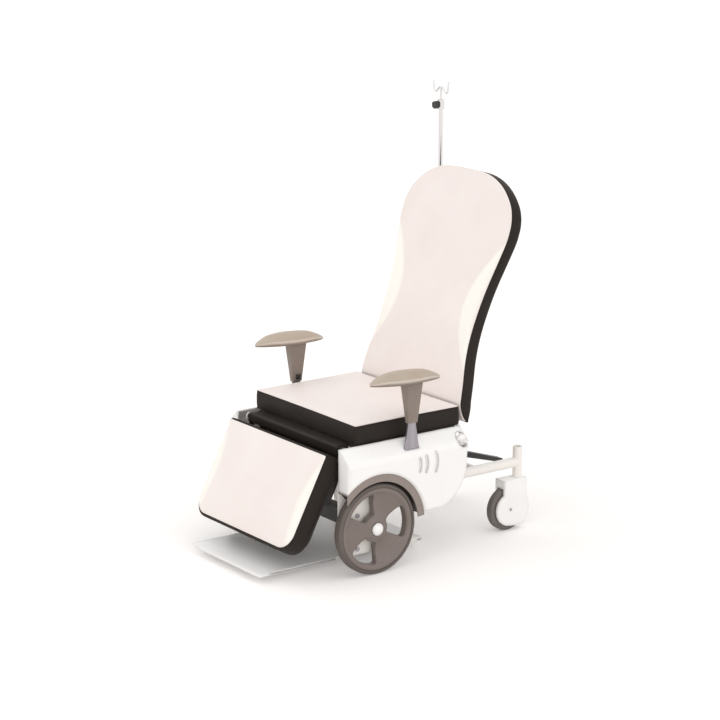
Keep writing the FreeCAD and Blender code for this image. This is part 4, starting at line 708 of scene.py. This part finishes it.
# Side view (y, z): the face's three points, the tip's front and rear lines, and their bows
FACE_LOW, FACE_TURN, FACE_TOP = (0.179, BACK_FACE_LOW), (0.262, BACK_TURN), (0.421, BACK_TOP)
LUMBAR_BOW, UPPER_BOW, SEAM_BEHIND_FACE = -1.78, 5.4, 0.006
TIP_FRONT, TIP_FRONT_BOW = ((0.212, BACK_LOW), (0.185, BACK_FACE_LOW)), -0.095
TIP_REAR, TIP_REAR_BOW = ((0.2140, BACK_LOW), (0.231, BACK_FACE_LOW)), 0.180
SQUARE_FROM, SQUARE_SPAN = 0.85, 0.25

BOLSTER_LOW, BOLSTER_SPAN, BOLSTER_WIDTH, BOLSTER_RISE, BOLSTER_CREST = 0.590, 0.420, 0.080, 0.013, 0.80
# FADE_IN, FADE_FROM, FADE_SPAN and COVER_FRONT shape the painted highlight on the bolsters.
FADE_IN, FADE_FROM, FADE_SPAN, COVER_FRONT = 0.16, 0.84, 0.12, 0.003
BACK_SWELL, BACK_RISE = 0.003, 0.004
COVER_LIFT, CROWN_FROM, CROWN_SPAN, CROWN_REACH, CORD_STEP_IN = 0.004, 1.09, 0.08, 0.0034, 0.0046
BACK_CORD_HEIGHT = -0.0006
SHELL_INSET, SHELL_LOW, SHELL_DEPTH, SHELL_CORNER = 0.020, 0.515, 0.054, 0.05


def arc_depth(z, start, end, radius):
    """Y at a height on the arc from start to end (y, z); a positive radius bows the arc backwards."""
    start, end = np.array(start), np.array(end)
    span = end - start
    chord = np.hypot(*span)
    side = np.sign(radius)
    ahead = np.array([-span[1], span[0]]) / chord * np.sign(span[1])
    centre = (start + end) / 2 + side * ahead * np.sqrt(radius ** 2 - chord ** 2 / 4)
    return centre[0] + side * np.sqrt(np.maximum(radius ** 2 - (z - centre[1]) ** 2, 0.0))


def back_seam(z):
    """Y of the seam between the side band and the cover at a height: a tip arc, a lumbar arc, a long arc."""
    tip = arc_depth(z, *TIP_FRONT, TIP_FRONT_BOW)
    lumbar = SEAM_BEHIND_FACE + arc_depth(z, FACE_LOW, FACE_TURN, LUMBAR_BOW)
    upper = SEAM_BEHIND_FACE + arc_depth(z, FACE_TURN, FACE_TOP, UPPER_BOW)
    return np.where(z < BACK_FACE_LOW, tip, np.where(z < BACK_TURN, lumbar, upper))


def back_place(across, along, up):
    """The backrest's face follows its seam. In front of the seam the way goes along the face's normal. Behind
    it the way goes straight back at the waist and turns square to the face towards the head; at the tip
    the depth shrinks to the rear line."""
    slope = (back_seam(along + SMALL_STEP) - back_seam(along - SMALL_STEP)) / (2 * SMALL_STEP)
    length = np.sqrt(1 + slope ** 2)
    seam = back_seam(along)
    tip_rear = arc_depth(along, *TIP_REAR, TIP_REAR_BOW)
    depth = np.where(along < BACK_FACE_LOW, tip_rear - seam, BACK_DEPTH)
    square = np.clip((along - SQUARE_FROM) / SQUARE_SPAN, 0.0, 1.0)
    front = np.maximum(up, 0.0)
    behind = np.maximum(-up, 0.0) / BACK_DEPTH * depth
    y = seam - front / length + behind * (1 - square * slope ** 2 / length ** 2)
    z = along + front * slope / length - behind * square * slope / length ** 2
    return np.stack([across, y, z], 1)


def back_line(low, corner=0.0):
    """Front view of the backrest: arcs of foot, waist, shoulder, head and corner, with a straight neck and
    temple, meet on common tangents, and a level crown closes them. The waist's end gives the neck's slope,
    and the corner arc takes over where it just reaches the crown. The lower corners may be rounded."""
    sine = (WAIST_HIGH - WAIST_LOW) / 2 / WAIST_BOW
    cosine = np.sqrt(1 - sine ** 2)
    neck_x, neck_z = WAIST_HALF + NECK * sine, WAIST_HIGH + NECK * cosine
    head_x, head_z = neck_x + SHOULDER_BOW * (1 - cosine), neck_z + SHOULDER_BOW * sine
    temple = head_z + TEMPLE
    lift = (CORNER_BOW - CROWN_TOP + temple) / (CORNER_BOW - HEAD_BOW)
    turn = np.sqrt(1 - lift ** 2)
    corner_x, corner_z = head_x - HEAD_BOW * (1 - turn), temple + HEAD_BOW * lift
    crown_x = corner_x - CORNER_BOW * turn
    right = [
        (BACK_HALF - corner, low, corner), (BACK_HALF, low + corner, FOOT_BOW),
        (WAIST_HALF, WAIST_LOW, -WAIST_BOW), (WAIST_HALF, WAIST_HIGH, 0.0), (neck_x, neck_z, SHOULDER_BOW),
        (head_x, head_z, 0.0), (head_x, temple, HEAD_BOW),
        (corner_x, corner_z, CORNER_BOW), (crown_x, CROWN_TOP, 0.0),
    ][0 if corner else 1:]
    left = [(-x, z, bow) for (x, z, _), (_, _, bow) in zip(right[::-1], right[-2::-1] + [(0.0, 0.0, 0.0)])]
    return outline(right + left)


def back_ring(low, corner=0.0):
    """The front view shared out on four sides, whose upper corners lie on the head arcs."""
    corners = [
        (-BACK_HALF, low), (BACK_HALF, low), (BACK_CORNER_X, BACK_CORNER_Z), (-BACK_CORNER_X, BACK_CORNER_Z)
    ]
    return four_sides(back_line(low, corner), corners, BACK_COUNTS)


def edge_reach(along):
    """Half width of the backrest at a height, read from its front view."""
    line = back_line(BACK_LOW)
    right = line[line[:, 0] > 0]
    right = right[np.argsort(right[:, 1])]
    return np.interp(along, right[:, 1], right[:, 0])


def bolster_swell(along):
    """A half sine over the bolsters' height: 0 at their ends, 1 in the middle."""
    return np.sin(np.pi * np.clip((along - BOLSTER_LOW) / BOLSTER_SPAN, 0.0, 1.0))


def bolster_share(across, along):
    """0 outside the lens-shaped side bolsters, and inside the share of the way from inner line to seam."""
    width = BOLSTER_WIDTH * bolster_swell(along)
    inner = edge_reach(along) - width
    return np.clip((np.abs(across) - inner) / np.maximum(width, 1e-6), 0.0, 1.0) * (width > 0.002)


def back_crown(across, along):
    """A flat middle with a slight swell, and two ridges: each climbs from its inner line almost to the edge
    and falls off again at the seam."""
    share = bolster_share(across, along)
    height = BOLSTER_RISE * bolster_swell(along) ** 0.7
    climb = share ** 1.15
    fall = 1 - np.clip((share - BOLSTER_CREST) / 0.20, 0.0, 1.0) ** 2
    swell = BACK_SWELL * pillow(BACK_COUNTS, 6)
    return swell + height * climb * fall * np.minimum(1.0, 8 * pillow(BACK_COUNTS, HOLD_POWER))


def paint_bolster_highlight(piece):
    """Paints a highlight on the front of the side bolsters, inside their lines: there the white cover goes
    over to its lighter painted highlight colour.
    """
    points = vertex_points(piece.data)
    share = bolster_share(points[:, 0], points[:, 2])
    front = points[:, 1] < back_seam(points[:, 2]) - COVER_FRONT
    fade = np.clip((share - FADE_FROM) / FADE_SPAN, 0.0, 1.0)
    mark(piece, np.clip(share / FADE_IN, 0.0, 1.0) * (1 - fade) * front)


def backrest():
    """A band that follows the seam, a cover with bolsters, filled from inside, and a moulded shell behind."""
    ring = back_ring(BACK_LOW)
    band = tray_profile(BACK_DEPTH, BAND_RECESS)
    tray, _ = pad("back_side_band", ring, BACK_COUNTS, band, flat_crown, back_place)
    dress(smoothed(tray), "vinyl_black", "backrest", "back_cushion", fill=BAND_FILL)
    # Towards the crown the cover reaches out over the band's rim and hides the sewn-in cord.
    cover_ring = back_ring(BACK_LOW + COVER_LIFT)
    crown_share = np.clip((cover_ring[:, 1] - CROWN_FROM) / CROWN_SPAN, 0.0, 1.0)
    cover_ring = inset(cover_ring, -CROWN_REACH * crown_share[:, None])
    cover, loose = pad("back_cover", cover_ring, BACK_COUNTS, COVER_EDGE, back_crown, back_place)
    stuffed(cover, loose, BACK_RISE)
    paint_bolster_highlight(cover)
    dress(smoothed(cover), "vinyl_white", "backrest", "back_front_panel", fill=COVER_FILL)
    cord_ring = inset(cover_ring, CORD_STEP_IN * crown_share[:, None])
    trims("back", "backrest", back_place, cord_ring, cover_ring, BACK_CORD_HEIGHT)
    # The shell is a sheet with a rounded rim.
    reach, deep = SHELL_INSET, SHELL_DEPTH
    rim = [
        (reach + 0.006, -deep), (reach + 0.0025, -deep + 0.0004), (reach + 0.0008, -deep + 0.0016),
        (reach, -deep + 0.0040), (reach, -BACK_DEPTH + 0.0015),
    ]
    shell_ring = back_ring(SHELL_LOW - reach, SHELL_CORNER)
    shell, _ = pad("back_shell_moulding", shell_ring, BACK_COUNTS, rim, flat_crown, back_place)
    dress(smoothed(shell), "shell_black", "backrest", "back_shell")


# Legrest and apron

LEG_PIVOT = np.array([0.0, -0.280, 0.403])
LEG_LEAN = np.radians(27.6)
LEG_HALF, LEG_TOP, LEG_LOW = 0.275, -0.0244, -0.3624
LEG_SEAM, LEG_DEPTH, LEG_CROWN, LEG_RISE = 0.0644, 0.062, 0.003, 0.004
LEG_COVER_INSETS = (0.0015, 0.0035, 0.007)
LEG_HIGH_CORNER, LEG_LOW_CORNER = 0.006, 0.060
# Width, swell, blend and height of the painted highlight strips along the legrest's sides.
STRIP_NARROW, STRIP_SWELL, STRIP_BLEND, STRIP_HEIGHT = 0.018, 0.034, 0.020, 0.30
LEG_COUNTS = (84, 52)


def leg_place(across, along, up):
    """The legrest leans: up stands in front of its face, along runs up its face, turned about the pivot."""
    y, z = -LEG_SEAM - up, along
    turned_y = y * np.cos(LEG_LEAN) + z * np.sin(LEG_LEAN)
    turned_z = -y * np.sin(LEG_LEAN) + z * np.cos(LEG_LEAN)
    return LEG_PIVOT + np.stack([across, turned_y, turned_z], 1)


def leg_ring(side, top, low):
    """Front view of the legrest, inset by side, top and low: small upper and large lower corners."""
    return box_ring(
        LEG_HALF - side, LEG_LOW + low, LEG_TOP - top, LEG_COUNTS, LEG_LOW_CORNER - side, LEG_HIGH_CORNER
    )


def paint_leg_side_highlights(piece):
    """Paints highlights as lighter strips along both side edges of the legrest's cover, widest above the
    middle.
    """
    points = vertex_points(piece.data)
    down = np.clip((LEG_PIVOT[2] + LEG_TOP - points[:, 2]) / STRIP_HEIGHT, 0.0, 1.0)
    width = STRIP_NARROW + STRIP_SWELL * np.sin(np.pi * down ** 0.8)
    share = (np.abs(points[:, 0]) - (LEG_HALF - width)) / STRIP_BLEND
    mark(piece, np.clip(share, 0.0, 1.0))


def legrest():
    """A band with large lower corners, and a cover a little smaller than it, filled from inside."""
    ring = leg_ring(0.0, 0.0, 0.0)
    band = tray_profile(LEG_DEPTH, BAND_RECESS)
    tray, _ = pad("legrest_side_band", ring, LEG_COUNTS, band, flat_crown, leg_place)
    dress(smoothed(tray), "vinyl_black", "legrest", "legrest_cushion", fill=BAND_FILL)
    cover_ring = leg_ring(*LEG_COVER_INSETS)
    crown = crown_of(LEG_COUNTS, LEG_CROWN, 6)
    cover, loose = pad("legrest_cover", cover_ring, LEG_COUNTS, COVER_EDGE, crown, leg_place)
    stuffed(cover, loose, LEG_RISE)
    paint_leg_side_highlights(cover)
    dress(smoothed(cover), "vinyl_white", "legrest", "legrest_front_panel", fill=COVER_FILL)
    trims("legrest", "legrest", leg_place, cover_ring, cover_ring)


APRON_HALF, APRON_REAR = 0.252, -0.252
APRON_LOW, APRON_TOP, APRON_CORNER, APRON_CROWN = 0.390, 0.426, 0.011, 0.0008
SKIRT_LOW, SKIRT_HIGH = (-0.247, -0.2560, 0.3460), (0.247, -0.2528, 0.3915)
APRON_COUNTS = (72, 8)


def apron_place(across, along, up):
    """The apron stands upright in front of the seat frame."""
    return np.stack([across, APRON_REAR - up, along], 1)


def apron():
    """A bar with a rounded front edge along the seat's front, and a skirt under it."""
    ring = box_ring(APRON_HALF, APRON_LOW, APRON_TOP, APRON_COUNTS, APRON_CORNER, APRON_CORNER)
    profile = [
        (0.002, 0.0), (0.0004, 0.0006), (0.0, 0.003), (0.0, 0.020), (0.0002, 0.036), (0.0010, 0.0420),
        (0.0026, 0.0450), (0.0050, 0.0463),
    ]
    crown = crown_of(APRON_COUNTS, APRON_CROWN)
    piece, _ = pad("apron_cover", ring, APRON_COUNTS, profile, crown, apron_place)
    dress(smoothed(piece), "vinyl_black", "chassis", "front_apron", fill=BAND_FILL)
    dress(block("apron_skirt", SKIRT_LOW, SKIRT_HIGH), "vinyl_black", "chassis")


# Armrest pads

ARM_X, ARM_FRONT, ARM_LENGTH = 0.323, -0.220, 0.274
ARM_BASE, ARM_RISE, ARM_HALF, ARM_NOSE_LIFT = 0.612, 0.044, 0.043, 0.009
ARM_WIDEST, ARM_BRIM, ARM_LIFT_END = 0.45, 0.017, 0.6


def arm_pad(side, name):
    """Moulded pad, a section carried from a pointed nose to a blunt tail. Across, a flat base turns up into a
    side that leans out to a crest, and a power curve spans the top from crest to crest. Along, width and
    dome are greatest at the same share: they swell quickly behind the nose and fall late to the tail."""
    nose_rows, tail_rows = [0.0012, 0.005, 0.012, 0.022], [0.98, 0.99, 0.996, 0.9992]
    share = np.concatenate([nose_rows, np.linspace(0.035, 0.965, 54), tail_rows])
    nose = np.clip(1 - share / ARM_WIDEST, 0.0, 1.0)
    tail = np.clip((share - ARM_WIDEST) / (1 - ARM_WIDEST), 0.0, 1.0)
    width = np.where(share < ARM_WIDEST, (1 - nose ** 2.0) ** 0.62, (1 - tail ** 3.2) ** 0.5)
    dome = np.where(share < ARM_WIDEST, 1 - nose ** 2.1, (1 - tail ** 2.1) ** 0.9)
    side_reach = np.array([0.0, 0.30, 0.55, 0.70, 0.79, 0.86, 0.92, 0.97, 0.995])
    side_height = np.array([0.0, 0.0, 0.01, 0.06, 0.18, 0.40, 0.66, 0.88, 0.985])
    top_reach = np.array([0.990, 0.965, 0.92, 0.84, 0.72, 0.56, 0.38, 0.19, 0.0])
    right_x = np.concatenate([side_reach, top_reach])
    section_x = np.concatenate([right_x, -right_x[-2:0:-1]])
    low_z = np.concatenate([side_height, np.ones(len(top_reach))])
    section_low = np.concatenate([low_z, low_z[-2:0:-1]])
    high_z = np.concatenate([np.zeros(len(side_reach)), 1 - top_reach ** 2.3])
    section_high = np.concatenate([high_z, high_z[-2:0:-1]])
    brim = ARM_BRIM * (0.42 + 0.58 * np.minimum(dome * 1.5, 1.0))
    lift = ARM_NOSE_LIFT * np.clip(1 - share / ARM_LIFT_END, 0.0, 1.0) ** 1.5
    z = ARM_BASE + lift[:, None] + brim[:, None] * section_low[None]
    z = z + (ARM_RISE - ARM_BRIM) * dome[:, None] * section_high[None]
    x = side * ARM_X + ARM_HALF * width[:, None] * section_x[None]
    y = ARM_FRONT + ARM_LENGTH * share[:, None] + 0.0 * x
    points = np.stack([x, y, z], -1)
    count = len(section_x)
    rows = np.arange(len(share) * count).reshape(len(share), count)
    faces = ring_bands(rows)[:, ::-1].tolist() + [rows[0].tolist(), rows[-1, ::-1].tolist()]
    piece = mesh_piece("arm_pad_moulding_" + name, points.reshape(-1, 3), faces)
    # Painted light: a painted highlight along the lip at the crest, and painted shade on the side below it.
    lip = np.clip(1 - np.abs(section_low - 0.90) / 0.30, 0.0, 1.0) * (section_high < 0.12)
    below = np.clip((0.78 - section_low) / 0.30, 0.0, 1.0)
    mark(piece, np.tile(lip - below, len(share)))
    dress(
        smoothed(piece), "arm_taupe", "armrest_" + name, "armrest_pad_" + name, fill=PAD_FILL, coat="arm_pad"
    )


# Wheel wells, rims and vents

WHEEL_Y, WHEEL_Z = -0.194, 0.150
RIM_DISH, RIM_HUB, RIM_LIP = 0.004, 0.026, 0.128
RIM_BACK, RIM_STEPS, RIM_FACE, RIM_PASSES = 0.2975, (0.0, 0.007, 0.014), 0.0017, 6
WELL_FROM, WELL_TO, WELL_STEPS = 5.0, 132.0, 64
WELL_INNER, WELL_OUTER, WELL_BACK, WELL_FRONT = 0.1410, 0.1790, 0.2868, 0.2880
VENT_X, VENT_Y, VENT_Z = (0.3365, 0.3385), (-0.052, 0.056), (0.296, 0.376)


def wheel_well(side, name):
    """Inner wall of the wheel arch: a flat ring sector behind the tyre's tread, out to the liner. The wall is
    real; its darker copy of the liner's grey is painted shade.
    """
    turn = np.radians(np.linspace(WELL_FROM, WELL_TO, WELL_STEPS))[:, None]
    reach = np.array([WELL_INNER, WELL_OUTER, WELL_OUTER, WELL_INNER])
    x = side * np.array([WELL_BACK, WELL_BACK, WELL_FRONT, WELL_FRONT])
    points = np.stack([x + 0 * turn, WHEEL_Y + reach * np.cos(turn), WHEEL_Z + reach * np.sin(turn)], -1)
    rows = np.arange(WELL_STEPS * len(reach)).reshape(WELL_STEPS, len(reach))
    faces = np.concatenate([ring_bands(rows), rows[:1, ::-1], rows[-1:]])
    piece = mesh_piece("wheel_well_" + name, points.reshape(-1, 3), faces[:, ::-int(side)])
    piece.data.polygons.foreach_set("use_smooth", np.zeros(len(faces), bool))
    dress(piece, "arch_grey", "chassis", coat="well_painted_shade")


def moulded_rim(side, name):
    """The wheel's rim as a moulding: the solid's mesh, with the walls of its windows led further in, made
    over in fine even faces, smoothed so that its edges round off, and dished between hub and lip by a
    sine of the radius."""
    solid = frame["nodes"]["front_rim_" + name].data
    own = vertex_points(solid)
    corners = np.empty(len(solid.loops), np.int32)
    solid.loops.foreach_get("vertex_index", corners)
    outward = side * own[:, 0]
    points, faces = [], []
    for step in RIM_STEPS:
        deeper = np.maximum(outward - step, np.minimum(outward, RIM_BACK))
        points.append(np.stack([side * deeper, own[:, 1], own[:, 2]], 1))
        faces.append(corners.reshape(-1, 3) + len(own) * len(faces))
    work = mesh_piece("rim_work", np.concatenate(points), np.concatenate(faces))
    even = work.modifiers.new("Even faces", "REMESH")
    even.mode = "VOXEL"
    even.voxel_size = RIM_FACE
    soft = work.modifiers.new("Soft edges", "SMOOTH")
    soft.factor, soft.iterations = 0.5, RIM_PASSES
    graph = bpy.context.evaluated_depsgraph_get()
    mesh = bpy.data.meshes.new_from_object(work.evaluated_get(graph))
    bpy.data.objects.remove(work)
    points = vertex_points(mesh)
    radius = np.hypot(points[:, 1] - WHEEL_Y, points[:, 2] - WHEEL_Z)
    dish = RIM_DISH * np.sin(np.pi * np.clip((radius - RIM_HUB) / (RIM_LIP - RIM_HUB), 0.0, 1.0))
    points[:, 0] -= side * dish
    mesh.vertices.foreach_set("co", points.astype(np.float32).ravel())
    mesh.polygons.foreach_set("use_smooth", np.ones(len(mesh.polygons), bool))
    mesh.materials.clear()
    mesh.update()
    piece = bpy.data.objects.new("rim_moulding_" + name, mesh)
    scene.collection.objects.link(piece)
    dress(piece, "rim_grey", "front_wheel_" + name, "front_rim_" + name)


def vent_screen(side, name):
    """A pale sheet close behind the cover's louvres."""
    low, high = zip(sorted(side * x for x in VENT_X), VENT_Y, VENT_Z)
    dress(block("vent_screen_" + name, low, high), "cover_white", "chassis")


seat()
backrest()
legrest()
apron()
for side, name in ((1, "left"), (-1, "right")):
    arm_pad(side, name)
    wheel_well(side, name)
    moulded_rim(side, name)
    vent_screen(side, name)


# Studio

AMBIENT = 0.84
FLOOR_REACH, FLOOR_PAINT, FLOOR_GLOW = 60.0, (0.87, 0.845, 0.825, 1.0), 0.22
VIEW_AZIMUTH, VIEW_ELEVATION, VIEW_DISTANCE = np.radians(53.82), np.radians(14.22), 7.923
VIEW_TARGET, VIEW_LENS, VIEW_SENSOR = np.array([0.0, -0.023, 0.6133]), 120.6, 36.0


def seen_directly(tree):
    """1 for rays from the camera, from mirrors or through glass, 0 for light that bounces."""
    rays = tree.add("ShaderNodeLightPath").outputs
    direct = tree.math("MAXIMUM", rays["Is Camera Ray"], rays["Is Glossy Ray"])
    return tree.math("MAXIMUM", direct, rays["Is Transmission Ray"])


def floor():
    """A wide pale floor: white to the eye except where the chair's shadow takes the light away."""
    points = FLOOR_REACH * np.array([[-1, -1, 0], [1, -1, 0], [1, 1, 0], [-1, 1, 0]])
    piece = mesh_piece("studio_floor", points, np.array([[0, 1, 2, 3]]))
    material = bpy.data.materials.new("studio_floor_paint")
    material.use_nodes = True
    nodes = material.node_tree.nodes
    tree = Tree(material.node_tree)
    paint = nodes["Principled BSDF"]
    paint.inputs["Base Color"].default_value = FLOOR_PAINT
    paint.inputs["Roughness"].default_value = 0.9
    paint.inputs["Specular IOR Level"].default_value = 0.0
    glow = tree.add("ShaderNodeEmission", {"Color": (1.0, 0.985, 0.98, 1.0)})
    tree.join(tree.math("MULTIPLY", seen_directly(tree), FLOOR_GLOW), glow.inputs["Strength"])
    both = tree.add("ShaderNodeAddShader", {0: paint.outputs["BSDF"], 1: glow.outputs["Emission"]})
    tree.join(both.outputs["Shader"], nodes["Material Output"].inputs["Surface"])
    piece.data.materials.append(material)


def world():
    """Even light from all round, seen as white."""
    backdrop = bpy.data.worlds.new("studio_backdrop")
    scene.world = backdrop
    backdrop.use_nodes = True
    tree = Tree(backdrop.node_tree)
    sky = backdrop.node_tree.nodes["Background"]
    sky.inputs["Color"].default_value = (1.0, 1.0, 1.0, 1.0)
    tree.join(tree.ramp(seen_directly(tree), 0.0, 1.0, AMBIENT, 1.0), sky.inputs["Strength"])


def sun(name, strength, angle, away):
    """A broad soft lamp shining along the given direction."""
    lamp = bpy.data.lights.new(name, "SUN")
    lamp.energy = strength
    lamp.angle = np.radians(angle)
    thing = bpy.data.objects.new(name, lamp)
    thing.rotation_euler = Vector(away).to_track_quat("-Z", "Y").to_euler()
    scene.collection.objects.link(thing)


def camera():
    """The photograph's viewpoint: turned and raised about a point of the chair, at a long lens."""
    level = np.cos(VIEW_ELEVATION)
    back = np.array([np.sin(VIEW_AZIMUTH) * level, -np.cos(VIEW_AZIMUTH) * level, np.sin(VIEW_ELEVATION)])
    lens = bpy.data.cameras.new("photo_view")
    lens.lens = VIEW_LENS
    lens.sensor_width = VIEW_SENSOR
    lens.clip_end = 300.0
    thing = bpy.data.objects.new("photo_view", lens)
    thing.location = VIEW_TARGET + back * VIEW_DISTANCE
    thing.rotation_euler = Vector(back).to_track_quat("Z", "Y").to_euler()
    scene.collection.objects.link(thing)
    scene.camera = thing


floor()
world()
sun("key_light", strength=0.38, angle=60.0, away=(0.62, 0.40, -0.80))
sun("fill_light", strength=0.68, angle=110.0, away=(-0.75, 0.35, -0.55))
camera()
